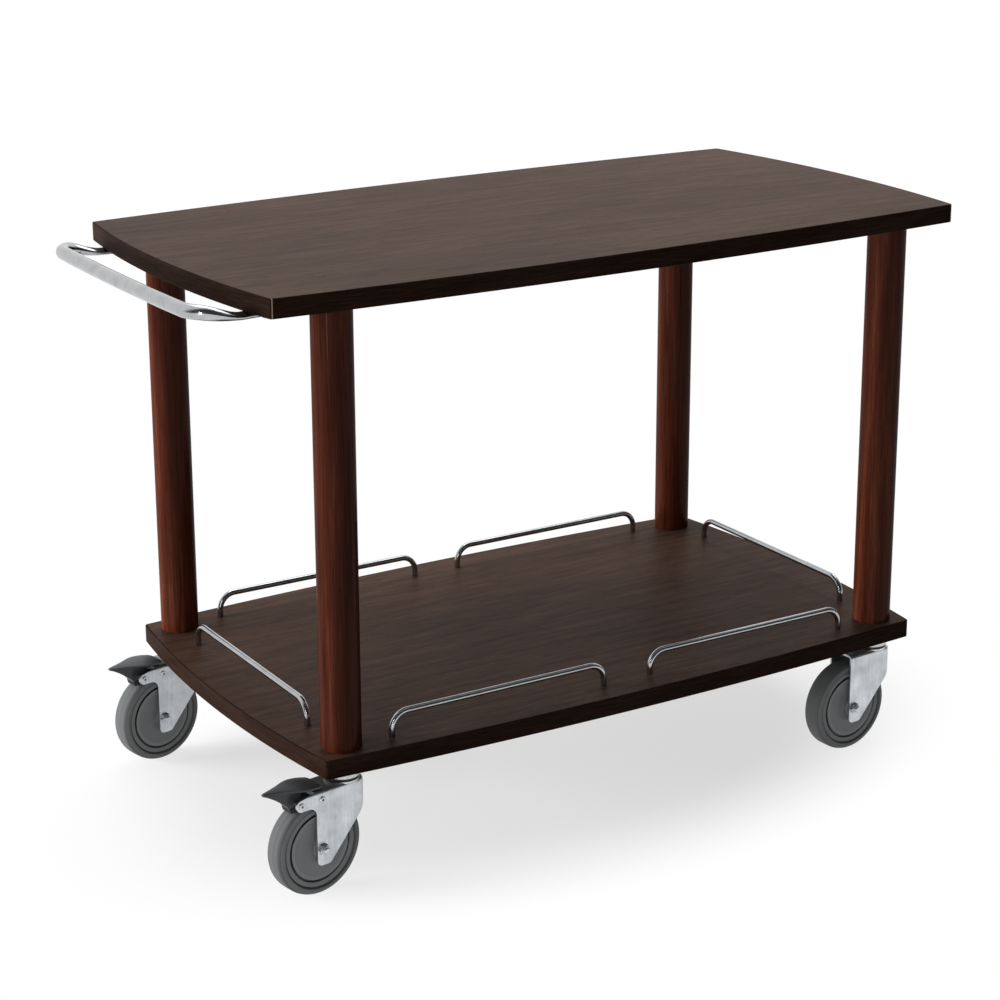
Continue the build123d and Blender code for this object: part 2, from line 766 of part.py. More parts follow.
# With the brake on, the shoe's face lies round the axle at the tyre's radius. Turned back by the pedal's
# travel about its pivot, the same face lies round this lifted centre while the brake is off.
pivot_point = Vector(brake_pivot_back, brake_level)
shoe_centre = pivot_point + (Vector(caster_trail, wheel_radius) - pivot_point).rotate(Axis.Z, brake_travel)
shoe_low = shoe_middle_angle + brake_travel - shoe_half_angle
shoe_high = shoe_middle_angle + brake_travel + shoe_half_angle
pedal_arm_outer = fork_gap / 2 - moving_gap
pedal_arm_inner = pedal_arm_outer - pedal_arm_thickness


def on_shoe(depth, angle):
    """A point of the shoe, depth outside its face and angle degrees up round its centre."""
    reach = wheel_radius + shoe_gap + depth
    return shoe_centre + Vector(reach * cos(radians(angle)), reach * sin(radians(angle)))


def brake_pedal(place):
    """Moulded pedal: a leaf-shaped tread over two arms that turn on the pivot pin and hold the shoe."""
    side = side_plane(place)
    inner_top = shelf_bottom - pedal_inner_drop
    tip_top = shelf_bottom - pedal_tip_drop
    crown_back = (pedal_inner_end + pedal_tip) / 2
    crown_level = (inner_top + tip_top) / 2 + pedal_crown
    length = pedal_tip - pedal_inner_end
    side_line = [
        (pedal_inner_end, pedal_half_width * pedal_inner_share),
        (pedal_inner_end + length * pedal_widest_share, pedal_half_width),
        (pedal_inner_end + length * pedal_taper_share, pedal_half_width * pedal_taper_width_share),
        (pedal_tip, 0),
    ]
    far_line = [(x, -y) for x, y in side_line]
    with BuildPart() as made:
        with BuildSketch(place.offset(brake_level)) as leaf:
            with BuildLine():
                Spline(*side_line)
                Spline(*reversed(far_line))
                Line(far_line[0], side_line[0])
            make_face()
            fillet(leaf.vertices().group_by(Axis.X)[-1], pedal_tip_rounding)
        extrude(amount=shelf_bottom - brake_level)
        with BuildSketch(side):
            with BuildLine():
                ThreePointArc((pedal_inner_end, inner_top), (crown_back, crown_level), (pedal_tip, tip_top))
                Polyline(
                    (pedal_tip, tip_top),
                    (pedal_tip, tip_top - pedal_tip_thickness),
                    (pedal_inner_end, inner_top - pedal_thickness),
                    (pedal_inner_end, inner_top),
                )
            make_face()
        extrude(amount=fork_width, both=True, mode=Mode.INTERSECT)
        for low, high in ((pedal_arm_inner, pedal_arm_outer), (-pedal_arm_outer, -pedal_arm_inner)):
            with BuildSketch(side.offset(low)):
                with BuildLine():
                    Polyline(
                        (brake_pivot_back - pedal_arm_radius, brake_level),
                        (brake_pivot_back - pedal_arm_radius, inner_top - pedal_thickness / 2),
                        (brake_pivot_back + pedal_arm_reach, inner_top - pedal_thickness / 2),
                        on_shoe(shoe_thickness, shoe_low),
                        on_shoe(0, shoe_low),
                        on_shoe(0, shoe_high),
                        close=True,
                    )
                make_face()
                with Locations((brake_pivot_back, brake_level)):
                    Circle(pedal_arm_radius)
            extrude(amount=high - low)
        with BuildSketch(side):
            with Locations((brake_pivot_back, brake_level)):
                Circle(brake_pin_diameter / 2 + running_clearance)
        extrude(amount=fork_width, both=True, mode=Mode.SUBTRACT)
    return made


def brake_shoe(place):
    """A block between the pedal's arms whose face lies along the tyre when the pedal is down."""
    middle = (shoe_low + shoe_high) / 2
    with BuildPart() as made:
        with BuildSketch(side_plane(place)):
            with BuildLine():
                ThreePointArc(on_shoe(0, shoe_low), on_shoe(0, middle), on_shoe(0, shoe_high))
                Line(on_shoe(0, shoe_high), on_shoe(shoe_thickness, shoe_high))
                ThreePointArc(
                    on_shoe(shoe_thickness, shoe_high),
                    on_shoe(shoe_thickness, middle),
                    on_shoe(shoe_thickness, shoe_low),
                )
                Line(on_shoe(shoe_thickness, shoe_low), on_shoe(0, shoe_low))
            make_face()
        extrude(amount=pedal_arm_inner, both=True)
    return made


for caster_name in corners:
    place = caster_plane(caster_name)
    braked = caster_name in braked_casters
    write(swivel_head(place), f"{caster_name}_swivel_head")
    write(fork(place, braked), f"{caster_name}_fork")
    write(axle_bolt(place), f"{caster_name}_axle_bolt")
    write(axle_nut(place), f"{caster_name}_axle_nut")
    write(axle_sleeve(place), f"{caster_name}_axle_sleeve")
    write(wheel_hub(place), f"{caster_name}_wheel_hub")
    write(tyre(place), f"{caster_name}_tyre")
    if braked:
        write(brake_pins(place), f"{caster_name}_brake_pins")
        write(brake_pedal(place), f"{caster_name}_brake_pedal")
        write(brake_shoe(place), f"{caster_name}_brake_shoe")

with BuildPart() as swivel_seals:
    with BuildSketch(at(0, 0, crown_top + moving_gap)):
        with Locations(*post_places.values()):
            ring_sketch(seal_diameter, kingpin_diameter + 2 * fixed_clearance)
    extrude(amount=seal_height)
write(swivel_seals, "swivel_seals")
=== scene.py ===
import json
import math

import bmesh
import bpy
from mathutils import Matrix, Vector


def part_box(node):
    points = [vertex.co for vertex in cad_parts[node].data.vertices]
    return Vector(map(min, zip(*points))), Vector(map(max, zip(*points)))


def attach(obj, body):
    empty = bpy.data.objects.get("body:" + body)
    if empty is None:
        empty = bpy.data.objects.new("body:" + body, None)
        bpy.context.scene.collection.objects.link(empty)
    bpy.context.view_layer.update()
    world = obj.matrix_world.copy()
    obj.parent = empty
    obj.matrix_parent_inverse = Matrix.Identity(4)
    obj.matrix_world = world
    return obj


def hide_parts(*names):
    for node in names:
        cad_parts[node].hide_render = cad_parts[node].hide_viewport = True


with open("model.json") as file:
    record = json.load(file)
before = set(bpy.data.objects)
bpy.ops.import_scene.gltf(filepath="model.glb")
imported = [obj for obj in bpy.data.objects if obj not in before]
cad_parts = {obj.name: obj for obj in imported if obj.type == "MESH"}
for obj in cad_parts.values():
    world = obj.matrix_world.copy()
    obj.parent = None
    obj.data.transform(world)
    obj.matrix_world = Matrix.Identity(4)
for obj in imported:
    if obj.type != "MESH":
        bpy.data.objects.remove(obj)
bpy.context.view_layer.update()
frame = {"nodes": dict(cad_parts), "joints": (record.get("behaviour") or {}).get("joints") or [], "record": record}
nodes = frame["nodes"]
joints = {joint["name"]: joint for joint in frame["joints"]}
scene = bpy.context.scene
print("frame loaded,", len(nodes), "nodes")


def operator(operation, swapped=False):
    def add(self, other):
        pair = (other, self) if swapped else (self, other)
        return self.shader("Math", dict(enumerate(pair)), operation=operation)

    return add


class Wire:
    # a socket of a node tree; sums and products with it add Math nodes
    def __init__(self, tree, socket=None):
        self.tree = tree
        self.socket = socket

    def node(self, kind, settings, inputs, output=0):
        made = self.tree.nodes.new(kind)
        for key, value in settings.items():
            if key == "stops":
                ramp = made.color_ramp.elements
                while len(ramp) < len(value):
                    ramp.new(1.0)
                for element, (place, colour) in zip(ramp, value):
                    element.position = place
                    element.color = (*colour, 1.0)
            else:
                setattr(made, key, value)
        for key, value in (inputs or {}).items():
            if isinstance(value, Wire):
                self.tree.links.new(value.socket, made.inputs[key])
            else:
                made.inputs[key].default_value = value
        return Wire(self.tree, made.outputs[output] if len(made.outputs) else None)

    def shader(self, kind, inputs=None, output=0, **settings):
        return self.node(f"ShaderNode{kind}", settings, inputs, output)

    def geometry(self, kind, inputs=None, output=0, **settings):
        return self.node(f"GeometryNode{kind}", settings, inputs, output)

    def maths(self, operation, *others):
        return self.shader("Math", dict(enumerate((self, *others))), operation=operation)

    __add__ = __radd__ = operator("ADD")
    __mul__ = __rmul__ = operator("MULTIPLY")
    __sub__, __rsub__ = operator("SUBTRACT"), operator("SUBTRACT", swapped=True)
    __truediv__, __rtruediv__ = operator("DIVIDE"), operator("DIVIDE", swapped=True)
    __pow__ = operator("POWER")

    def between(self, low, high):
        # 0 below low, 1 above high and a straight line from one to the other
        return self.shader("MapRange", {0: self, 1: low, 2: high})

    def eased(self, low, high):
        # the same with a soft start and end
        return self.shader("MapRange", {0: self, 1: low, 2: high}, interpolation_type="SMOOTHSTEP")

    def within(self, low, high, edge):
        # 1 from low to high, and down to 0 over the width of an edge on either side
        return self.between(low - edge, low) * (1 - self.between(high, high + edge))

    def blend(self, start, end):
        # a colour that goes from start to end as this goes from 0 to 1
        start, end = (colour if isinstance(colour, Wire) else (*colour, 1.0) for colour in (start, end))
        return self.shader("Mix", {0: self, 6: start, 7: end}, 2, data_type="RGBA")

    def noise(self, where, scale, detail, roughness, stretch=(1, 1, 1)):
        spot = self.shader("Mapping", {"Vector": where, "Scale": stretch})
        return self.shader("TexNoise", {"Vector": spot, "Scale": scale, "Detail": detail, "Roughness": roughness})

    def split(self):
        # the three numbers of a vector
        parts = self.shader("SeparateXYZ", {0: self}).socket.node.outputs
        return [Wire(self.tree, part) for part in parts]

    def vector(self, x, y, z):
        return self.shader("CombineXYZ", {0: x, 1: y, 2: z})

    def named(self, name, kind="FLOAT"):
        return self.geometry("InputNamedAttribute", {"Name": name}, data_type=kind)

    def store(self, name, value):
        # this geometry with a number kept on each of its points
        inputs = {"Geometry": self, "Name": name, "Value": value}
        return self.geometry("StoreNamedAttribute", inputs, data_type="FLOAT", domain="POINT")


def pick(settings, *keys):
    return (settings[key] for key in keys)


def newMaterial(name):
    # an empty material, a Wire to add its nodes with, and the place on the object
    material = bpy.data.materials.new(name)
    material.use_nodes = True
    material.node_tree.nodes.clear()
    board = Wire(material.node_tree)
    return material, board, board.shader("TexCoord", output="Object")


def makeMaterial(name, fields, look):
    # fields gives the sockets that vary over the surface and its height, from 0 to 1 of the look's depth
    material, board, where = newMaterial(name)
    sockets, height = fields(board, where, look)
    sockets["Normal"] = board.shader("Bump", {"Height": height, "Distance": look["depth"]})
    surface = board.shader("BsdfPrincipled", {**look.get("constants", {}), **sockets})
    board.shader("OutputMaterial", {"Surface": surface})
    return material


def woodColour(board, where, look, tone):
    # dark to light as the tone goes through its range, with the pores dark again
    pores = board.noise(where, *look["pores"]).between(*look["poreRange"])
    stops = [(0.0, look["dark"]), (look["middleAt"], look["middle"]), (1.0, look["light"])]
    colour = board.shader("ValToRGB", {0: tone.between(*look["toneRange"])}, stops=stops)
    return (pores * look["poreShade"]).blend(colour, look["dark"]), pores


# dark laminate: long grain with fine pore lines, along one axis or along the board's edge
laminateLook = {
    "dark": (0.03, 0.0155, 0.0095), "middle": (0.074, 0.0405, 0.0265), "light": (0.12, 0.071, 0.05),
    "middleAt": 0.5, "toneRange": (0.38, 0.74), "roughness": 0.4, "constants": {"Specular IOR Level": 0.03},
    # noises as scale, detail, roughness and stretch
    "drift": (3.0, 2.0, 0.5, (1, 3, 3)),
    "bands": (11.0, 3.0, 0.5, (0.7, 7, 7)),
    "streaks": (30.0, 5.0, 0.62, (0.95, 15, 15)),
    "pores": (60.0, 2.0, 0.5, (1.3, 30, 30)),
    "poreRange": (0.58, 0.7), "poreShade": 0.55, "depth": 0.00006,
}
edgeLook = {
    **laminateLook,
    "dark": (0.0085, 0.0042, 0.0026), "middle": (0.021, 0.0108, 0.0072), "light": (0.038, 0.0215, 0.0155),
    "roughness": 0.42, "constants": {"Specular IOR Level": 0.01},
    # pale upright lines on the top's band, a little way from each of its corners
    "middleX": 0.0315, "joint": (0.5022, 0.5032), "jointEdge": 0.0002, "glue": (0.42, 0.34, 0.27), "glueShade": 0.8,
}


def laminateFields(board, place, look):
    where, joint = place, None
    if "joint" in look:
        # the band carries how far along it each point is
        along = board.shader("Attribute", output="Fac", attribute_name="along")
        x, _, height = place.split()
        where = board.vector(along, height, 0.0)
        joint = (x - look["middleX"]).maths("ABSOLUTE").within(*look["joint"], look["jointEdge"])
    drift, bands, streaks = (board.noise(where, *row) for row in pick(look, "drift", "bands", "streaks"))
    colour, pores = woodColour(board, where, look, bands * 0.3 + streaks * 0.58 + drift * 0.24)
    if joint:
        colour = (joint * look["glueShade"]).blend(colour, look["glue"])
    sockets = {"Base Color": colour, "Roughness": look["roughness"] + streaks * 0.12 + pores * 0.1}
    return sockets, streaks * 0.5 - pores


# turned posts: stained hardwood under lacquer, grain upright
postLook = {
    "dark": (0.014, 0.0026, 0.0014), "middle": (0.066, 0.0155, 0.0074), "light": (0.15, 0.045, 0.022),
    "middleAt": 0.55, "toneRange": (0.42, 0.82), "roughness": 0.34, "coat": 0.06,
    "constants": {"Specular IOR Level": 0.01, "Coat Roughness": 0.1},
    "wander": (2.2, 2.0, 0.5, (1, 1, 0.5)),
    "figure": (22.0, 4.0, 0.55, (3, 3, 0.16)),
    "streaks": (60.0, 4.0, 0.6, (7, 7, 0.22)),
    "pores": (150.0, 2.0, 0.5, (9, 9, 0.35)),
    "poreRange": (0.6, 0.72), "poreShade": 0.6, "depth": 0.00008,
}


def postFields(board, where, look):
    wander, figure, streaks = (board.noise(where, *row) for row in pick(look, "wander", "figure", "streaks"))
    colour, pores = woodColour(board, where, look, figure * 0.55 + streaks * 0.35 + wander * 0.3)
    sockets = {
        "Base Color": colour,
        "Roughness": look["roughness"] + figure * 0.12,
        "Coat Weight": look["coat"] + figure * 0.03,
    }
    return sockets, streaks * 0.4 - pores


# metals: bright plating with faint polishing marks and cloudy patches
metalLooks = {
    "chrome": {
        "clean": (0.52, 0.53, 0.54), "dull": (0.38, 0.39, 0.405), "roughness": 0.13, "spread": 0.09,
        "marks": (900.0, 2.0, 0.5, (1, 1, 0.06)), "depth": 0.000015, "constants": {"Metallic": 1.0},
    },
    "zinc": {
        "clean": (0.66, 0.68, 0.7), "dull": (0.46, 0.485, 0.5), "roughness": 0.26, "spread": 0.2,
        "marks": (420.0, 2.0, 0.5, (1, 1, 0.06)), "depth": 0.00004, "constants": {"Metallic": 1.0},
    },
}
metalWear = {
    "clouds": (38.0, 4.0, 0.6), "specks": (700.0, 2.0, 0.6), "speckRange": (0.62, 0.75), "wearRange": (0.35, 0.68),
}


def metalFields(board, where, look):
    marks = board.noise(where, *look["marks"])
    clouds, specks = (board.noise(where, *row) for row in pick(metalWear, "clouds", "specks"))
    specks = specks.between(*metalWear["speckRange"])
    wear = (clouds * 0.7 + marks * 0.3).between(*metalWear["wearRange"])
    sockets = {
        "Base Color": (specks * 0.25).blend(wear.blend(look["dull"], look["clean"]), look["dull"]),
        "Roughness": look["roughness"] + (1 - wear) * look["spread"] + specks * 0.1,
    }
    return sockets, marks * 0.6 + clouds * 0.4


# mouldings: fine sparked texture, a little cloudiness and dust;
# rings are from and to this far out from the axle, colour, how strong; some are painted highlight and painted shade on
# the hub and tyre
mouldingLooks = {
    "hub": {
        "colour": (0.25, 0.262, 0.267), "pale": (0.3, 0.311, 0.316), "roughness": 0.42,
        "grain": 900.0, "depth": 0.00003,
        "rings": [
            # paler band on the rim beside the groove: a painted highlight, with some dust
            (0.0383, 0.0423, (0.36, 0.37, 0.375), 0.6),
            # near black in the groove: painted shade
            (0.0425, 0.0458, (0.006, 0.006, 0.0065), 0.95),
            (0.0, 0.0142, (0.1, 0.105, 0.108), 0.5),
        ],
    },
    "tyre": {
        "colour": (0.17, 0.178, 0.181), "pale": (0.23, 0.238, 0.241), "roughness": 0.55,
        "grain": 1100.0, "depth": 0.00005,
        "rings": [
            (0.0448, 0.0509, (0.3, 0.31, 0.314), 0.75),
            # dark line in the step between the side ring and the shoulder: painted shade
            (0.0512, 0.0536, (0.03, 0.031, 0.032), 0.8),
            (0.0596, 0.08, (0.085, 0.089, 0.09), 0.85),
        ],
    },
    "pedal": {
        "colour": (0.037, 0.04, 0.043), "pale": (0.062, 0.067, 0.071), "roughness": 0.4,
        "grain": 1300.0, "depth": 0.00005,
    },
    "shoe": {
        "colour": (0.012, 0.012, 0.012), "pale": (0.03, 0.03, 0.03), "roughness": 0.7,
        "grain": 1300.0, "depth": 0.00006,
    },
    "blackPlastic": {
        "colour": (0.011, 0.011, 0.012), "pale": (0.025, 0.025, 0.026), "roughness": 0.38,
        "grain": 1400.0, "depth": 0.00003,
    },
}
mouldingWear = {
    "clouds": (30.0, 4.0, 0.6), "dust": (260.0, 3.0, 0.6), "dustRange": (0.55, 0.78), "toneRange": (0.36, 0.7),
    "ringEdge": 0.0003, "ringWander": 0.0006,
}


def mouldingFields(board, where, look):
    grain = board.noise(where, look["grain"], 2.0, 0.6)
    clouds, dust = (board.noise(where, *row) for row in pick(mouldingWear, "clouds", "dust"))
    dust = dust.between(*mouldingWear["dustRange"])
    tone = (clouds * 0.75 + grain * 0.25).between(*mouldingWear["toneRange"])
    colour = (tone * 0.8).blend(look["colour"], look["pale"])
    colour = (dust * 0.2).blend(colour, look["pale"])
    # rings round the axle, among them a painted highlight on the hub's rim and painted shade in the hub's groove and
    # in the tyre's step
    if "rings" in look:
        out = board.shader("Attribute", output="Fac", attribute_name="out")
        out = out + (clouds - 0.5) * mouldingWear["ringWander"]
        for low, high, shade, strength in look["rings"]:
            colour = (out.within(low, high, mouldingWear["ringEdge"]) * strength).blend(colour, shade)
    return {"Base Color": colour, "Roughness": look["roughness"] + clouds * 0.12 + dust * 0.1}, grain


# raw particle board under the boards, sealed with a dark stain
coreLook = {
    "colour": (0.03, 0.0195, 0.0145), "chip": (0.062, 0.042, 0.031), "chipScale": 260.0, "clouds": (14.0, 4.0, 0.6),
    "toneRange": (0.3, 0.8), "roughness": 0.5, "depth": 0.00008,
}


def coreFields(board, where, look):
    chips = board.shader("TexVoronoi", {"Vector": where, "Scale": look["chipScale"]}, feature="F1")
    clouds = board.noise(where, *look["clouds"])
    colour = (chips * 0.5 + clouds * 0.6).between(*look["toneRange"]).blend(look["colour"], look["chip"])
    return {"Base Color": colour, "Roughness": look["roughness"] + clouds * 0.2}, chips


finishes = {
    "laminate": makeMaterial("laminateTop", laminateFields, laminateLook),
    "edge_band": makeMaterial("laminateEdge", laminateFields, edgeLook),
    "board_core": makeMaterial("boardUnderside", coreFields, coreLook),
    "post_wood": makeMaterial("postMahogany", postFields, postLook),
    "chrome": makeMaterial("brightChrome", metalFields, metalLooks["chrome"]),
    "zinc_steel": makeMaterial("zincPlate", metalFields, metalLooks["zinc"]),
    "hub_plastic": makeMaterial("greyHub", mouldingFields, mouldingLooks["hub"]),
    "tyre_rubber": makeMaterial("greyTyre", mouldingFields, mouldingLooks["tyre"]),
    "pedal_plastic": makeMaterial("pedalPlastic", mouldingFields, mouldingLooks["pedal"]),
    "shoe_rubber": makeMaterial("shoeRubber", mouldingFields, mouldingLooks["shoe"]),
    "black_plastic": makeMaterial("blackPlastic", mouldingFields, mouldingLooks["blackPlastic"]),
}
for row in frame["record"]["subparts"]:
    mesh = nodes[row["node"]].data
    mesh.materials.clear()
    mesh.materials.append(finishes[row["material_slot"]])
print("materials made")

casters = [name.removesuffix("_swivel_turn") for name in joints if name.endswith("_swivel_turn")]
braked = [corner for corner in casters if f"{corner}_brake_press" in joints]
upwards = Vector((0, 0, 1))


def casterFrame(corner):
    # the floor under a caster's kingpin, the way it trails, and its axle's direction
    out = Vector(joints[f"{corner}_wheel_spin"]["axis"])
    x, y, _ = joints[f"{corner}_swivel_turn"]["pos_m"]
    return Vector((x, y, 0)), out.cross(upwards), out


def addObject(name, data):
    made = bpy.data.objects.new(name, data)
    scene.collection.objects.link(made)
    return made


def keepResult(piece, modifier):
    # the mesh that a modifier makes takes the place of the piece's own
    graph = bpy.context.evaluated_depsgraph_get()
    piece.data = bpy.data.meshes.new_from_object(
        piece.evaluated_get(graph), preserve_all_data_layers=True, depsgraph=graph
    )
    piece.data.name = piece.name
    piece.modifiers.remove(modifier)


def register(piece, body, slot, *replaced):
    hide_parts(*replaced)
    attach(piece, body)


def kindsOf(settings):
    # the kind of input that each value needs
    return {key: "Int" if isinstance(value, int) else "Float" for key, value in settings.items()}


def newTree(name, inputs):
    # an empty geometry tree with named inputs, and a Wire for each of them
    inputs = {"Geometry": "Geometry", **inputs, "Edge Angle": "Float", "Material": "Material"}
    tree = bpy.data.node_groups.new(name, "GeometryNodeTree")
    tree.interface.new_socket("Geometry", in_out="OUTPUT", socket_type="NodeSocketGeometry")
    for key, kind in inputs.items():
        tree.interface.new_socket(key, in_out="INPUT", socket_type=f"NodeSocket{kind}")
    entry = tree.nodes.new("NodeGroupInput")
    return tree, Wire(tree), {key: Wire(tree, entry.outputs[key]) for key in inputs}


def finishTree(board, mesh, given):
    # real mesh, shaded smooth but for edges past the edge angle, in the piece's material
    mesh = board.geometry("RealizeInstances", {"Geometry": mesh})
    sharp = board.geometry("InputMeshEdgeAngle").maths("GREATER_THAN", given["Edge Angle"])
    mesh = board.geometry("SetShadeSmooth", {"Geometry": mesh, "Shade Smooth": True}, domain="FACE")
    sharpened = {"Geometry": mesh, "Selection": sharp, "Shade Smooth": False}
    mesh = board.geometry("SetShadeSmooth", sharpened, domain="EDGE")
    mesh = board.geometry("SetMaterial", {"Geometry": mesh, "Material": given["Material"]})
    board.node("NodeGroupOutput", {}, {"Geometry": mesh})


def lineMesh(name, runs, closed=False, layers=None):
    # separate lines of points as one mesh of edges; layers are {name: (type, values)} on its points
    places, edges = [], []
    for run in runs:
        first = len(places)
        places += [tuple(place) for place in run]
        edges += [(i, i + 1) for i in range(first, len(places) - 1)]
        if closed:
            edges.append((len(places) - 1, first))
    mesh = bpy.data.meshes.new(name)
    mesh.from_pydata(places, edges, [])
    for key, (kind, values) in (layers or {}).items():
        layer = mesh.attributes.new(key, kind, "POINT")
        if kind == "FLOAT_VECTOR":
            layer.data.foreach_set("vector", [number for value in values for number in value])
        else:
            layer.data.foreach_set("value", values)
    return mesh


def grow(name, tree, mesh, values, body, slot, *replaced):
    # runs a tree on a mesh and keeps the plain mesh that comes out as a piece
    piece = addObject(name, mesh)
    run = piece.modifiers.new("grow", "NODES")
    run.node_group = tree
    keys = {item.name: item.identifier for item in tree.interface.items_tree if item.in_out == "INPUT"}
    for key, value in {**values, "Material": finishes[slot]}.items():
        run[keys[key]] = value
    keepResult(piece, run)
    while piece.data.materials[0] is None:
        piece.data.materials.pop(index=0)
    register(piece, body, slot, *replaced)


def sweepProfile(board, route, given):
    drawn = board.geometry("ObjectInfo", {"Object": given["Profile"]}, "Geometry")
    line = board.geometry("MeshToCurve", {"Mesh": drawn})
    return board.geometry("CurveToMesh", {"Curve": route, "Profile Curve": line})


# everything turned: a half profile in mm, swept round a small circle
turnedSet = {"Hub Radius": 0.01, "Edge Angle": math.radians(32)}
arcSet = {"steps": 4, "guard": 0.12, "guardShare": 0.3, "leastGuard": 0.01}


def makeTurnedTree(settings):
    # turns the profile about its own Z at every point, along that point's "turn";
    # points of the profile whose "hex" is 1 come out on a hexagon
    tree, board, given = newTree("turned", {"Profile": "Object", "Sides": "Int", **kindsOf(settings)})
    size = {"Resolution": given["Sides"], "Radius": given["Hub Radius"]}
    form = sweepProfile(board, board.geometry("CurvePrimitiveCircle", size), given)
    x, y, z = board.geometry("InputPosition").split()
    angle = y.maths("ARCTAN2", x).maths("FLOORED_MODULO", math.pi / 3) - math.pi / 6
    reach = 1 + board.named("hex") * (1 / angle.maths("COSINE") - 1)
    place = board.vector(x * reach, y * reach, z)
    form = board.geometry("SetPosition", {"Geometry": form, "Position": place})
    form = form.store("out", (x * x + y * y).maths("SQRT"))
    form = board.geometry("MergeByDistance", {"Geometry": form, "Distance": 1e-6})
    turn = board.node("FunctionNodeEulerToRotation", {}, {"Euler": board.named("turn", "FLOAT_VECTOR")})
    placed = {"Points": given["Geometry"], "Instance": form, "Rotation": turn}
    finishTree(board, board.geometry("InstanceOnPoints", placed), given)
    return tree


turnedTree = makeTurnedTree(turnedSet)


def rounded(corner, radius):
    # the arc that eases the middle one of three profile points (across, up, hex), with a
    # point just outside each end of it that keeps the shading of the flats beside it flat
    before, middle, after = (Vector(point[:2]) for point in corner)
    one, two = (before - middle).normalized(), (after - middle).normalized()
    half = one.angle(two) / 2
    cut = radius / math.tan(half)
    centre = middle + (one + two).normalized() * (radius / math.sin(half))
    start, end = middle + one * cut - centre, middle + two * cut - centre
    steps = arcSet["steps"] + int(radius)
    arc = [centre + start.slerp(end, step / steps).normalized() * radius for step in range(steps + 1)]
    room = min((before - middle).length, (after - middle).length) - cut
    guard = min(arcSet["guard"], room * arcSet["guardShare"])
    if guard > arcSet["leastGuard"]:
        arc = [arc[0] + one * guard, *arc, arc[-1] + two * guard]
    return [(*point, corner[1][2]) for point in arc]


def drawProfile(name, points, closed=False, hub=turnedSet["Hub Radius"]):
    # points are (across, up, hex, easing) in mm, from the top centre outwards and down
    full = [(*point, 0, 0)[:4] for point in points]
    drawn = []
    for i, point in enumerate(full):
        if point[3] and (closed or 0 < i < len(full) - 1):
            drawn += rounded((full[i - 1], point, full[(i + 1) % len(full)]), point[3])
        else:
            drawn.append(point[:3])
    spots = [(across / 1000 - hub, -up / 1000, 0) for across, up, _ in drawn]
    mesh = lineMesh(name, [spots], closed, {"hex": ("FLOAT", [float(point[2]) for point in drawn])})
    return bpy.data.objects.new(name, mesh)


def mirrored(half):
    # the other half of a profile that is the same up and down
    return [(point[0], -point[1], *point[2:]) for point in reversed(half)]


def turnPiece(name, profile, sides, places, body, slot, *replaced):
    # places are (point, the way the profile's up points, the way its first corner points)
    turns = []
    for _, up, first in places:
        up = Vector(up).normalized()
        side = up.cross(Vector(first)).normalized()
        turns.append(tuple(Matrix((side.cross(up), side, up)).transposed().to_euler()))
    mesh = lineMesh(name, [[place] for place, _, _ in places], False, {"turn": ("FLOAT_VECTOR", turns)})
    values = {"Profile": profile, "Sides": sides, **turnedSet}
    grow(name, turnedTree, mesh, values, body, slot, *replaced)


# posts
postSet = {"easing": 1.2, "sides": 96}
posts = [name for name in nodes if name.startswith("post_") and name != "post_studs"]


def makePosts(settings):
    easing = settings["easing"]
    for name in posts:
        low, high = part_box(name)
        middle = (low + high) / 2
        radius, height = (high.x - low.x) * 500, (high.z - low.z) * 1000
        points = [(0, height), (radius, height, 0, easing), (radius, height / 2), (radius, 0, 0, easing), (0, 0)]
        profile = drawProfile(f"{name}Profile", points)
        places = [((middle.x, middle.y, low.z), upwards, (1, 0, 0))]
        turnPiece(f"turned_{name}", profile, settings["sides"], places, "trolley", "post_wood", name)


makePosts(postSet)
print("posts made")

# tyres and hubs
tyreSet = {
    "radius": 62.5, "rim": 45.5, "half": 15.0, "shoulder": 8.0, "ringEdge": 51.5, "ringInset": 2.0,
    "easing": 0.9, "rimEasing": 0.3, "seam": 0.12, "seamHalf": (0.6, 0.2), "sides": 128,
}
hubSet = {
    "bore": 6.05, "boreEasing": 0.4, "boss": 13.0, "bossFace": 17.7, "bossEasing": 1.2, "face": 13.0, "dish": 2.5,
    "grooveInner": 42.5, "grooveDepth": 2.6, "rim": 45.5, "rimWidth": 3.0, "easing": 0.45, "rootRadius": 1.6,
    "sides": 128,
}


def tyreProfile(settings):
    radius, half, rim, edge, inset = pick(settings, "radius", "half", "rim", "ringEdge", "ringInset")
    easing, seam, (seamFoot, seamTop) = pick(settings, "easing", "seam", "seamHalf")
    side = [
        (rim, half - inset, 0, settings["rimEasing"]),
        (edge, half - inset, 0, easing),
        (edge + inset, half, 0, easing),
        (radius - seam, half, 0, settings["shoulder"] - seam),
        (radius - seam, seamFoot),
        (radius, seamTop),
    ]
    return drawProfile("tyreProfile", side + mirrored(side), closed=True)


def hubProfile(settings):
    bore, boss, bossFace, face = pick(settings, "bore", "boss", "bossFace", "face")
    groove, depth, rim, easing = pick(settings, "grooveInner", "grooveDepth", "rim", "easing")
    side = [
        (bore, bossFace, 0, settings["boreEasing"]),
        (boss, bossFace, 0, settings["bossEasing"]),
        (boss, face - settings["dish"], 0, settings["rootRadius"]),
        (groove - settings["rimWidth"], face, 0, easing),
        (groove, face, 0, easing),
        (groove, face - depth, 0, easing),
        (rim, face - depth),
    ]
    return drawProfile("hubProfile", side + mirrored(side), closed=True)


def makeWheels(tyre, hub):
    tyreLine, hubLine = tyreProfile(tyre), hubProfile(hub)
    for corner in casters:
        spin, body = joints[f"{corner}_wheel_spin"], f"{corner}_wheel"
        places = [(spin["pos_m"], spin["axis"], upwards)]
        turnPiece(f"{corner}_rolled_tyre", tyreLine, tyre["sides"], places, body, "tyre_rubber", f"{corner}_tyre")
        turnPiece(f"{corner}_turned_hub", hubLine, hub["sides"], places, body, "hub_plastic", f"{corner}_wheel_hub")


makeWheels(tyreSet, hubSet)
print("wheels made")

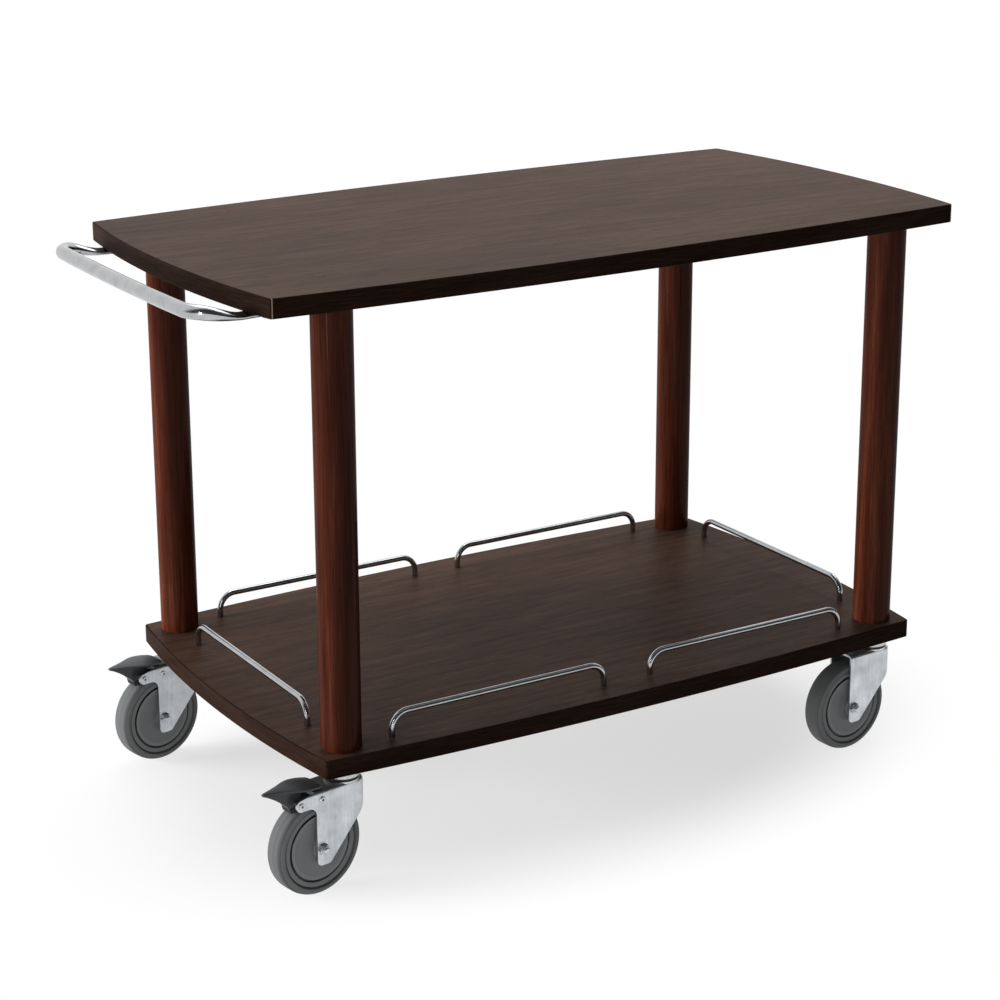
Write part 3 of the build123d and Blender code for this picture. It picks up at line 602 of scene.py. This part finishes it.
# swivel heads and their seals, up from the floor
headSet = {
    "top": 207.0, "stem": 6.0, "shelf": 155.0, "flange": 20.0, "flangeLow": 153.0, "hex": 15.0, "cupTop": 151.0,
    "cup": 23.0, "cupLow": 143.5, "kingpin": 9.0, "collarTop": 137.2, "collar": 13.0, "low": 134.2,
    "hollow": (5.0, 4.0), "hollowDepth": (1.2, 1.4), "sides": 72,
}
sealSet = {"outer": 21.0, "bore": 9.04, "top": 143.5, "low": 140.3, "lip": 0.9, "sides": 72}


def makeHeads(head, seal):
    stem, shelf, flange, flangeLow = pick(head, "stem", "shelf", "flange", "flangeLow")
    cup, cupTop, cupLow, pin = pick(head, "cup", "cupTop", "cupLow", "kingpin")
    collar, collarTop, low = pick(head, "collar", "collarTop", "low")
    (mouth, floor), (edgeDepth, depth) = pick(head, "hollow", "hollowDepth")
    profile = drawProfile(
        "headProfile",
        [
            (0, head["top"]), (stem, head["top"], 0, 1.0), (stem, shelf), (flange, shelf, 0, 0.4),
            (flange, flangeLow, 0, 0.4), (head["hex"], flangeLow, 1), (head["hex"], cupTop, 1),
            (cup, cupTop, 0, 1.5), (cup, cupLow, 0, 1.2), (pin, cupLow), (pin, collarTop),
            (collar, collarTop, 0, 0.5), (collar, low, 0, 0.8), (mouth, low, 0, 0.5),
            (floor, low + edgeDepth, 0, 0.4), (0, low + depth),
        ],
    )
    places = [(post, upwards, trail) for post, trail, _ in map(casterFrame, casters)]
    names = [f"{corner}_swivel_head" for corner in casters]
    turnPiece("turned_swivel_heads", profile, head["sides"], places, "trolley", "zinc_steel", *names)

    bore, outer, top, low, lip = pick(seal, "bore", "outer", "top", "low", "lip")
    points = [(bore, top), (outer, top, 0, lip), (outer, low, 0, lip), (bore, low)]
    profile = drawProfile("sealProfile", points, closed=True)
    turnPiece("lipped_swivel_seals", profile, seal["sides"], places, "trolley", "black_plastic", "swivel_seals")


makeHeads(headSet, sealSet)

# axle bolts and nuts, and the riveted pins of the brakes, out from the middle of each caster
axleSet = {
    "cheek": 20.5, "shank": 4.0, "end": 28.5, "sides": 36, "flats": 6.5, "boltHead": 5.0,
    "dimple": (3.2, 3.9, 0.5),  # radius at its floor, radius at its mouth, depth
    "threads": [(0, 2.2), (0.4, 1.8), (0, 1.4), (0.4, 1.0), (0.2, 0.7), (0.9, 0)],  # cut in by, up from the end
    "nut": 6.5, "collar": 5.5, "collarHeight": 2.0, "bore": 4.04, "boreChamfer": (0.5, 0.4),
}
pinSet = {
    "pivot": 3.0, "spacer": 2.5, "spacerBack": 0.045, "head": 4.25, "headHeight": 1.5, "crown": 0.7,
    "hollow": 1.5, "hollowFlare": 0.25, "sides": 32,
}


def makeAxles(settings):
    cheek, flats, shank, end, bore = pick(settings, "cheek", "flats", "shank", "end", "bore")
    floor, mouth, deep = settings["dimple"]
    top = cheek + settings["boltHead"]
    threads = [(shank - narrow, up - end) for narrow, up in settings["threads"]]
    bolt = drawProfile(
        "boltProfile",
        [
            (0, top - deep), (floor, top - deep), (mouth, top), (flats - 0.5, top), (flats, top - 0.7, 1),
            (flats, cheek + 0.4, 1), (flats - 0.1, cheek), (shank, cheek), *threads, (0, -end),
        ],
    )
    nutTop, collar = cheek + settings["nut"], settings["collar"]
    shoulder = nutTop - settings["collarHeight"]
    boreWider, boreDeep = settings["boreChamfer"]
    nut = drawProfile(
        "nutProfile",
        [
            (bore, nutTop - boreDeep), (bore + boreWider, nutTop, 0, 0.1), (collar, nutTop, 0, 0.5),
            (collar, shoulder), (flats - 0.4, shoulder), (flats, shoulder - 0.6, 1), (flats, cheek + 0.5, 1),
            (flats - 0.3, cheek), (bore, cheek),
        ],
        closed=True,
    )
    for corner in casters:
        _, trail, out = casterFrame(corner)
        middle = joints[f"{corner}_wheel_spin"]["pos_m"]
        for kind, profile, up in (("bolt", bolt, -out), ("nut", nut, out)):
            turnPiece(
                f"{corner}_turned_axle_{kind}", profile, settings["sides"], [(middle, up, trail)],
                f"{corner}_swivel", "zinc_steel", f"{corner}_axle_{kind}",
            )


def makePins(settings, cheek):
    head, height, hollow, crown = pick(settings, "head", "headHeight", "hollow", "crown")
    for kind in ("pivot", "spacer"):
        half = [
            (0, cheek - 0.6), (hollow, cheek - 0.5, 0, 0.2),
            (hollow + settings["hollowFlare"], cheek + height, 0, 0.25), (head - crown, cheek + height, 0, 0.5),
            (head, cheek + crown, 0, 0.4), (head, cheek), (settings[kind], cheek),
        ]
        profile = drawProfile(f"{kind}Profile", half + mirrored(half))
        for corner in braked:
            post, trail, out = casterFrame(corner)
            place = Vector(joints[f"{corner}_brake_press"]["pos_m"])
            if kind == "spacer":
                place = Vector((post.x, post.y, place.z)) + trail * settings["spacerBack"]
            turnPiece(
                f"{corner}_{kind}_rivet", profile, settings["sides"], [(place, out, upwards)],
                f"{corner}_swivel", "zinc_steel", f"{corner}_brake_pins",
            )


makeAxles(axleSet)
makePins(pinSet, axleSet["cheek"])
print("caster fittings made")

# socket screws, their heads facing down
screwSet = {
    "handle_screws": {
        "head": 5.0, "headHeight": 3.6, "socket": 2.5, "shank": 2.5, "top": 743.0, "low": 717.3, "easing": 0.8,
    },
    "rail_screws": {
        "head": 4.0, "headHeight": 2.6, "socket": 2.0, "shank": 2.0, "top": 177.0, "low": 155.6, "easing": 0.5,
    },
}
screwDetail = {"mouth": (0.25, 0.15), "drill": (0.8, 0.3), "tip": 0.8, "handleInset": 0.005, "sides": 36}


def railFeet(name):
    # the centres of a rail's two feet, its level there and at its straight run, and its radius
    low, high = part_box(name)
    thick = min(high.x - low.x, high.y - low.y) / 2
    feet = [(low.x + thick, low.y + thick), (high.x - thick, high.y - thick)]
    return feet, low.z, high.z - thick, thick


rails = sorted(name for name in nodes if name.startswith("rail_") and name != "rail_screws")


def screwPlaces(name):
    # on the handle two in each arm, from the box round them, and on the shelf one at each foot
    if name == "rail_screws":
        return [foot for rail in rails for foot in railFeet(rail)[0]]
    low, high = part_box(name)
    inset = screwDetail["handleInset"]
    return [(x, y) for x in (low.x + inset, high.x - inset) for y in (low.y + inset, high.y - inset)]


def makeScrews(allSettings, detail):
    (mouthWider, mouthDeep), (drillShare, drillDeep), tip = pick(detail, "mouth", "drill", "tip")
    for name, settings in allSettings.items():
        head, height, socket, shank = pick(settings, "head", "headHeight", "socket", "shank")
        length = settings["top"] - settings["low"]
        floor = -height / 2
        profile = drawProfile(
            f"{name}Profile",
            [
                (0, floor - drillDeep), (socket * drillShare, floor), (socket, floor + 0.1, 1),
                (socket, -mouthDeep, 1), (socket + mouthWider, 0, 0.5), (head, 0, 0, settings["easing"]),
                (head, -height, 0, 0.2), (shank, -height), (shank, tip - length), (shank - tip, -length),
                (0, -length),
            ],
        )
        places = [((x, y, settings["low"] / 1000), (0, 0, -1), (1, 0, 0)) for x, y in screwPlaces(name)]
        turnPiece(f"socket_{name}", profile, detail["sides"], places, "trolley", "zinc_steel", name)


makeScrews(screwSet, screwDetail)
print("screws made")

# gallery rails: bent wire
railSet = {"Bend Radius": 0.022, "Bend Steps": 14, "Sides": 32, "Edge Angle": math.radians(40)}


def bentRoute(board, given):
    # lines of points with their corners bent round
    route = board.geometry("MeshToCurve", {"Mesh": given["Geometry"]})
    bends = {"Curve": route, "Count": given["Bend Steps"], "Radius": given["Bend Radius"]}
    return board.geometry("FilletCurve", bends, mode="POLY")


def roundRod(board, route, given):
    size = {"Resolution": given["Sides"], "Radius": given["Rod Radius"]}
    ring = board.geometry("CurvePrimitiveCircle", size)
    return board.geometry("CurveToMesh", {"Curve": route, "Profile Curve": ring, "Fill Caps": True})


def makeRails(settings):
    routes = []
    for name in rails:
        (start, end), low, level, thick = railFeet(name)
        routes.append([(*start, low), (*start, level), (*end, level), (*end, low)])
    settings = {**settings, "Rod Radius": thick}
    tree, board, given = newTree("bentRod", kindsOf(settings))
    finishTree(board, roundRod(board, bentRoute(board, given), given), given)
    grow("bent_gallery_rails", tree, lineMesh("railLines", routes), settings, "trolley", "chrome", *rails)


makeRails(railSet)
print("rails made")

# push handle: a bent tube whose arms slope down and flatten where they go under the top
handleSet = {
    "Rod Radius": 0.009, "Bend Radius": 0.031, "Bend Steps": 18, "Step": 0.002, "Sides": 40,
    "Bar X": -0.5485, "End X": -0.414, "Bar Level": 0.7349,
    # half the gap between the arms, how much further out they are at the bar, how far the bar bows
    "Arm Y": 0.201, "Splay": 0.0125, "Bow": 0.0045,
    "Flat Level": 0.7254, "Flat Width": 0.0115, "Flat Height": 0.0045,
    # where along X the arms start and end their slope and their flattening
    "Slope Start": -0.54, "Slope End": -0.4836, "Neck Start": -0.534, "Neck End": -0.4836,
    "Edge Angle": math.radians(45),
}


def makeHandleTree(settings):
    tree, board, given = newTree("handleTube", kindsOf(settings))
    armY, splay, bow, barX, level = pick(given, "Arm Y", "Splay", "Bow", "Bar X", "Bar Level")
    slopeStart, slopeEnd, radius = pick(given, "Slope Start", "Slope End", "Rod Radius")
    route = board.geometry("ResampleCurve", {"Curve": bentRoute(board, given), "Length": given["Step"]}, mode="LENGTH")
    x, y, z = board.geometry("InputPosition").split()
    bowed = x + bow * (y / (armY + splay)) ** 2.0 * (1 - x.eased(barX + bow, slopeEnd))
    route = board.geometry("SetPosition", {"Geometry": route, "Position": board.vector(bowed, y, z)})
    tube = roundRod(board, route, given)

    x, y, z = board.geometry("InputPosition").split()
    flat = x.eased(given["Neck Start"], given["Neck End"])
    arm = y.maths("SIGN") * (armY + splay * x.between(given["End X"], barX))
    newY = arm + (y - arm) * (1 + flat * (given["Flat Width"] / radius - 1))
    middle = level + x.eased(slopeStart, slopeEnd) * (given["Flat Level"] - level)
    newZ = middle + (z - level) * (1 + flat * (given["Flat Height"] / radius - 1))
    moved = {"Selection": x.maths("GREATER_THAN", slopeStart), "Position": board.vector(x, newY, newZ)}
    finishTree(board, board.geometry("SetPosition", {"Geometry": tube, **moved}), given)
    return tree


def makeHandle(settings):
    bar, end, arm, level = pick(settings, "Bar X", "End X", "Arm Y", "Bar Level")
    wide = arm + settings["Splay"]
    line = lineMesh("handleLine", [[(end, arm, level), (bar, wide, level), (bar, -wide, level), (end, -arm, level)]])
    grow("bent_push_handle", makeHandleTree(settings), line, settings, "trolley", "chrome", "handle_tube")


makeHandle(handleSet)
print("handle made")

# edge bands round both boards, with the distance along them kept for their grain
bandSet = {
    "shapes": {
        "top_edge_band": {"length": 1010.0, "width": 522.0, "endBow": 21.0, "sideBow": 18.0, "low": 730.0},
        "shelf_edge_band": {"length": 906.0, "width": 541.0, "endBow": 21.0, "sideBow": 16.0, "low": 155.0},
    },
    "middle": 31.5, "corner": 5.0, "thickness": 2.0, "height": 24.0, "easing": 0.8, "arcSteps": 24, "cornerSteps": 8,
    "edgeAngle": math.radians(35),
}


def arcPoints(centre, radius, first, last, steps):
    angles = [first + (last - first) * step / steps for step in range(steps + 1)]
    return [centre + Vector((math.cos(angle), math.sin(angle))) * radius for angle in angles]


def bowedOutline(settings, shape):
    # half way through the band's thickness, from the middle of the far corner round to it again
    inset, corner, arcSteps, cornerSteps = pick(settings, "thickness", "corner", "arcSteps", "cornerSteps")
    inset /= 2
    x, y, endBow, sideBow = shape["length"] / 2, shape["width"] / 2, shape["endBow"], shape["sideBow"]
    sideRadius = (x * x + sideBow**2) / (2 * sideBow)
    endRadius = (y * y + endBow**2) / (2 * endBow)
    sideCentre = Vector((0, y + sideBow - sideRadius))
    endCentre = Vector((x + endBow - endRadius, 0))

    # the corner's centre is a corner radius inside both bows
    far, near = sideRadius - corner, endRadius - corner
    between = endCentre - sideCentre
    apart = between.length
    heading = between / apart
    along = (far * far - near * near + apart * apart) / (2 * apart)
    across = math.sqrt(far * far - along * along)
    options = [sideCentre + heading * along + Vector((-heading.y, heading.x)) * across * way for way in (-1, 1)]
    centre = max(options, key=lambda point: min(point.x, point.y))
    endAngle, sideAngle = ((centre - other).angle_signed(Vector((1, 0))) for other in (endCentre, sideCentre))

    # from the middle of the end, round the corner, to the middle of the side
    quarter = arcPoints(endCentre, endRadius - inset, 0, endAngle, arcSteps)[:-1]
    quarter += arcPoints(centre, corner - inset, endAngle, sideAngle, cornerSteps)
    quarter += arcPoints(sideCentre, sideRadius - inset, sideAngle, math.pi / 2, arcSteps)[1:]
    top = quarter + [Vector((-point.x, point.y)) for point in reversed(quarter[:-1])]
    loop = top + [Vector((point.x, -point.y)) for point in reversed(top[1:-1])]
    start = arcSteps + cornerSteps // 2
    loop = loop[start:] + loop[:start]
    return [((point.x + settings["middle"]) / 1000, point.y / 1000, shape["low"] / 1000) for point in loop]


def makeBandTree():
    tree, board, given = newTree("edgeBand", {"Profile": "Object"})
    route = board.geometry("MeshToCurve", {"Mesh": given["Geometry"]})
    route = route.store("along", board.geometry("SplineParameter", output="Length"))
    finishTree(board, sweepProfile(board, route, given), given)
    return tree


def makeBands(settings):
    half, height, easing = settings["thickness"] / 2, settings["height"], settings["easing"]
    points = [(-half, height), (half, height, 0, easing), (half, 0, 0, easing), (-half, 0)]
    values = {"Profile": drawProfile("bandProfile", points, closed=True, hub=0), "Edge Angle": settings["edgeAngle"]}
    tree = makeBandTree()
    for name, shape in settings["shapes"].items():
        outline = lineMesh(name, [bowedOutline(settings, shape)], closed=True)
        grow(f"eased_{name}", tree, outline, values, "trolley", "edge_band", name)


makeBands(bandSet)
print("edge bands made")


def keepMesh(work, name, smooth=True):
    for face in work.faces:
        face.smooth = smooth
    mesh = bpy.data.meshes.new(name)
    work.to_mesh(mesh)
    work.free()
    return mesh


def easeEdges(piece, settings):
    bevel = piece.modifiers.new("easing", "BEVEL")
    bevel.width, bevel.segments = settings["easing"], settings["steps"]
    bevel.limit_method = "ANGLE"
    bevel.angle_limit = math.radians(settings["angle"])
    bevel.harden_normals = True


# brake pedals: a pointed tread over a keel that runs down to the pin and the shoe
pedalSet = {
    # back from the swivel axis, half width of the tread, level of the keel's underside
    "stations": [
        (44.0, 16.6, 143.0), (50.0, 18.8, 143.0), (56.0, 20.1, 143.0), (62.0, 20.5, 143.0), (67.6, 20.2, 143.0),
        (69.2, 20.0, 126.5), (71.0, 19.6, 123.4), (73.5, 19.0, 121.5), (76.0, 18.2, 121.0), (79.0, 17.2, 120.8),
        (82.0, 15.8, 120.2), (84.2, 14.8, 120.6), (86.4, 13.8, 124.4), (89.5, 12.3, 127.8), (93.5, 10.6, 131.2),
        (98.0, 8.9, 134.6), (103.0, 7.2, 138.2), (108.0, 5.8, 141.4), (112.5, 4.6, 144.0), (116.0, 3.6, 145.7),
        (118.6, 2.4, 146.6),
    ],
    "top": [(44.0, 146.2), (80.0, 149.6), (118.6, 149.6)],  # back, level along the tread's middle
    "thickness": 4.4, "tipThickness": 2.8, "edgeDrop": 1.8, "edgePower": 2.5, "across": 8,
    "keelHalf": 8.0, "keelShare": 0.6, "rib": 0.4,
    "boreRadius": 0.0032, "boreLength": 0.06, "boreSides": 48,
    "easing": 0.00035, "steps": 2, "angle": 35,
}
shoeSet = {"centre": (63.01, 56.71), "angles": (64.0, 76.0), "newAngles": (71.0, 80.0), "narrow": 0.66}


def parabola(points, at):
    # the level at a place on the parabola through three points
    level = 0.0
    for i, (place, value) in enumerate(points):
        for k, (other, _) in enumerate(points):
            if k != i:
                value *= (at - other) / (place - other)
        level += value
    return level


def pedalLoop(settings, back, half, keel):
    # one section of the pedal, over the tread from side to side and back round the keel
    thickness, tip, count = pick(settings, "thickness", "tipThickness", "across")
    first, last = settings["stations"][0][0], settings["stations"][-1][0]
    thick = thickness + (tip - thickness) * (back - first) / (last - first)
    top = parabola(settings["top"], back)
    under = top - thick
    foot = min(keel, under - settings["rib"])
    keelHalf = min(settings["keelHalf"], half * settings["keelShare"])
    drop = settings["edgeDrop"] * thick / thickness
    shares = [2 * i / count - 1 for i in range(count + 1)]
    loop = [(back, share * half, top - drop * abs(share) ** settings["edgePower"]) for share in shares]
    side = [(back, half, under), (back, keelHalf, under), (back, keelHalf, foot)]
    return loop + side + [(back, -across, up) for _, across, up in reversed(side)]


def makePedal(corner, settings):
    post, trail, out = casterFrame(corner)
    work = bmesh.new()
    loops = []
    for station in settings["stations"]:
        loops.append([
            work.verts.new(post + (trail * back + out * across + upwards * up) / 1000)
            for back, across, up in pedalLoop(settings, *station)
        ])
    for near, far in zip(loops, loops[1:]):
        for i in range(len(near)):
            work.faces.new((near[i - 1], near[i], far[i], far[i - 1]))
    work.faces.new(loops[0])
    work.faces.new(loops[-1])
    bmesh.ops.recalc_face_normals(work, faces=work.faces)
    name = f"keeled_{corner}_brake_pedal"
    piece = addObject(name, keepMesh(work, name))
    piece.data.materials.append(finishes["pedal_plastic"])

    # the bore that turns on the pin
    work = bmesh.new()
    turn = upwards.rotation_difference(out).to_matrix().to_4x4()
    radius, length, sides = pick(settings, "boreRadius", "boreLength", "boreSides")
    bmesh.ops.create_cone(
        work, cap_ends=True, segments=sides, radius1=radius, radius2=radius, depth=length,
        matrix=Matrix.Translation(joints[f"{corner}_brake_press"]["pos_m"]) @ turn,
    )
    cutter = addObject("boreCutter", keepMesh(work, "boreCutter", smooth=False))
    cut = piece.modifiers.new("bore", "BOOLEAN")
    cut.operation, cut.solver, cut.object = "DIFFERENCE", "EXACT", cutter
    keepResult(piece, cut)
    bpy.data.objects.remove(cutter)
    easeEdges(piece, settings)
    register(piece, f"{corner}_brake", "pedal_plastic", f"{corner}_brake_pedal")


def slimShoe(work, corner, settings):
    # the shoe keeps its face round the tyre but is narrower and stands nearer the fork
    post, trail, out = casterFrame(corner)
    back, up = settings["centre"]
    centre = post + (trail * back + upwards * up) / 1000
    (low, high), (newLow, newHigh) = pick(settings, "angles", "newAngles")
    for vert in work.verts:
        place = vert.co - centre
        along, across = place.dot(trail), place.dot(out) * settings["narrow"]
        reach = math.hypot(along, place.z)
        angle = math.degrees(math.atan2(place.z, along))
        angle = math.radians(newLow + (angle - low) * (newHigh - newLow) / (high - low))
        vert.co = centre + trail * reach * math.cos(angle) + out * across + upwards * reach * math.sin(angle)


for corner in braked:
    makePedal(corner, pedalSet)
print("brake pedals made")

# pressings and mouldings with their edges eased
easedSet = {
    "fork": {"easing": 0.00035, "steps": 2, "angle": 34, "slot": "zinc_steel"},
    "brake_shoe": {"easing": 0.0006, "steps": 2, "angle": 30, "slot": "shoe_rubber"},
    "handle_end_plugs": {"easing": 0.0005, "steps": 3, "angle": 30, "slot": "black_plastic"},
    "weld": 1e-6, "flat": math.radians(0.4),
}


def makeEased(name, body, settings, reshape=None):
    work = bmesh.new()
    work.from_mesh(nodes[name].data)
    bmesh.ops.remove_doubles(work, verts=work.verts, dist=easedSet["weld"])
    bmesh.ops.dissolve_limit(work, angle_limit=easedSet["flat"], verts=work.verts, edges=work.edges)
    if reshape:
        reshape(work)
    mesh = keepMesh(work, f"eased_{name}")
    for layer in ("custom_normal", "sharp_edge"):
        if layer in mesh.attributes:
            mesh.attributes.remove(mesh.attributes[layer])
    mesh.materials.append(finishes[settings["slot"]])
    piece = addObject(f"eased_{name}", mesh)
    easeEdges(piece, settings)
    register(piece, body, settings["slot"], name)


for corner in casters:
    makeEased(f"{corner}_fork", f"{corner}_swivel", easedSet["fork"])
for corner in braked:
    makeEased(
        f"{corner}_brake_shoe", f"{corner}_brake", easedSet["brake_shoe"], lambda work: slimShoe(work, corner, shoeSet)
    )
makeEased("handle_end_plugs", "trolley", easedSet["handle_end_plugs"])
print("eased copies made")

# camera, floor and studio
cameraSet = {
    "place": (-1.64573, -2.65832, 1.38185), "heading": -29.99, "tilt": 16.17, "roll": -0.64,  # degrees
    "sensor": 36.0, "lens": 87.26, "shift": (0.06619, -0.07977),
}


def makeCamera(settings):
    heading, tilt, roll = map(math.radians, pick(settings, "heading", "tilt", "roll"))
    turns = ((heading, "Z"), (math.pi / 2 - tilt, "X"), (roll, "Z"))
    around, down, over = (Matrix.Rotation(angle, 4, axis) for angle, axis in turns)
    data = bpy.data.cameras.new("camera")
    data.sensor_width, data.lens = settings["sensor"], settings["lens"]
    data.shift_x, data.shift_y = settings["shift"]
    camera = addObject("camera", data)
    camera.matrix_world = Matrix.Translation(settings["place"]) @ around @ down @ over
    scene.camera = camera


makeCamera(cameraSet)

studioSet = {
    "lamps": {  # place, aim, width, height, watts, seen in polished metal
        "leftWindow": ((-2.8, 1.4, 0.55), (-0.3, 0.0, 0.45), 1.4, 1.1, 140.0, False),
        "topWindow": ((0.6, 0.8, 2.9), (0.2, 0.0, 0.6), 2.4, 1.8, 38.0, True),
        "frontFill": ((-1.3, -2.7, 0.2), (-0.1, 0.0, 0.05), 2.2, 0.4, 15.0, False),
        "sideStrip": ((-2.4, -1.8, 0.75), (0.0, 0.0, 0.45), 0.1, 1.6, 9.0, True),
    },
    "white": (1.0, 1.0, 1.0), "dim": (0.06, 0.06, 0.063),
    "backdropWay": (0.05, 0.95, 0.3),  # the side of the white backdrop
    "fillWay": (-0.45, 0.85, 0.3),  # the side that most of the soft fill comes from
    "wayEdge": (-0.1, 0.35), "fill": (0.68, 0.68, 0.69), "fillDim": (0.025, 0.025, 0.026),
    "floorColour": (0.2, 0.2, 0.2), "floorSeen": (0.95, 0.95, 0.95),
    "floorLift": 0.62,  # how white the floor is seen near the trolley; further off it is all white
    "floorStretch": (0.8, 1.3, 0.0), "floorFade": (0.34, 0.6), "floorSize": 30.0,
}


def rayKinds(board):
    return (board.shader("LightPath", output=f"Is {kind} Ray") for kind in ("Camera", "Glossy", "Transmission"))


def makeLamps(lamps):
    for name, (place, aim, width, height, watts, shines) in lamps.items():
        data = bpy.data.lights.new(name, "AREA")
        data.shape = "RECTANGLE"
        data.size, data.size_y, data.energy = width, height, watts
        lamp = addObject(name, data)
        lamp.location = place
        lamp.visible_glossy = shines
        lamp.rotation_euler = (Vector(aim) - Vector(place)).to_track_quat("-Z", "Y").to_euler()


def makeWorld(settings):
    # glossy rays see a white backdrop on one side, diffuse rays a soft fill, all others plain white
    world = bpy.data.worlds.new("studio")
    world.use_nodes = True
    world.node_tree.nodes.clear()
    board = Wire(world.node_tree)
    ahead = board.shader("TexCoord", output="Generated")
    fromBackdrop, fromFill = (
        board.shader("VectorMath", {0: ahead, 1: way}, "Value", operation="DOT_PRODUCT").between(*settings["wayEdge"])
        for way in pick(settings, "backdropWay", "fillWay")
    )
    isCamera, isGlossy, isThrough = rayKinds(board)
    backdrop = fromBackdrop.blend(settings["dim"], settings["white"])
    seen = isGlossy.blend(fromFill.blend(settings["fillDim"], settings["fill"]), backdrop)
    seen = isCamera.maths("MAXIMUM", isThrough).blend(seen, settings["white"])
    board.shader("OutputWorld", {"Surface": board.shader("Background", {"Color": seen})})
    scene.world = world


def makeFloor(settings):
    mesh = bpy.data.meshes.new("floor")
    half = settings["floorSize"] / 2
    corners = [(-half, -half, 0), (half, -half, 0), (half, half, 0), (-half, half, 0)]
    mesh.from_pydata(corners, [], [range(4)])
    floor = addObject("floor", mesh)
    material, board, where = newMaterial("paleFloor")
    where = board.shader("VectorMath", {0: where, 1: settings["floorStretch"]}, operation="MULTIPLY")
    away = board.shader("VectorMath", {0: where}, "Value", operation="LENGTH")
    isCamera, isGlossy, isThrough = rayKinds(board)
    isSeen = isCamera.maths("MAXIMUM", isGlossy).maths("MAXIMUM", isThrough)
    near = settings["floorLift"]
    white = (near + away.eased(*settings["floorFade"]) * (1 - near)) * isSeen
    paint = board.shader("BsdfDiffuse", {"Color": isSeen.blend(settings["floorColour"], settings["floorSeen"])})
    glow = board.shader("Emission", {"Color": (*settings["white"], 1.0), "Strength": 1.0})
    board.shader("OutputMaterial", {"Surface": board.shader("MixShader", {0: white, 1: paint, 2: glow})})
    mesh.materials.append(material)


makeLamps(studioSet["lamps"])
makeWorld(studioSet)
makeFloor(studioSet)
scene.view_settings.view_transform = "Standard"
print("camera and studio made")
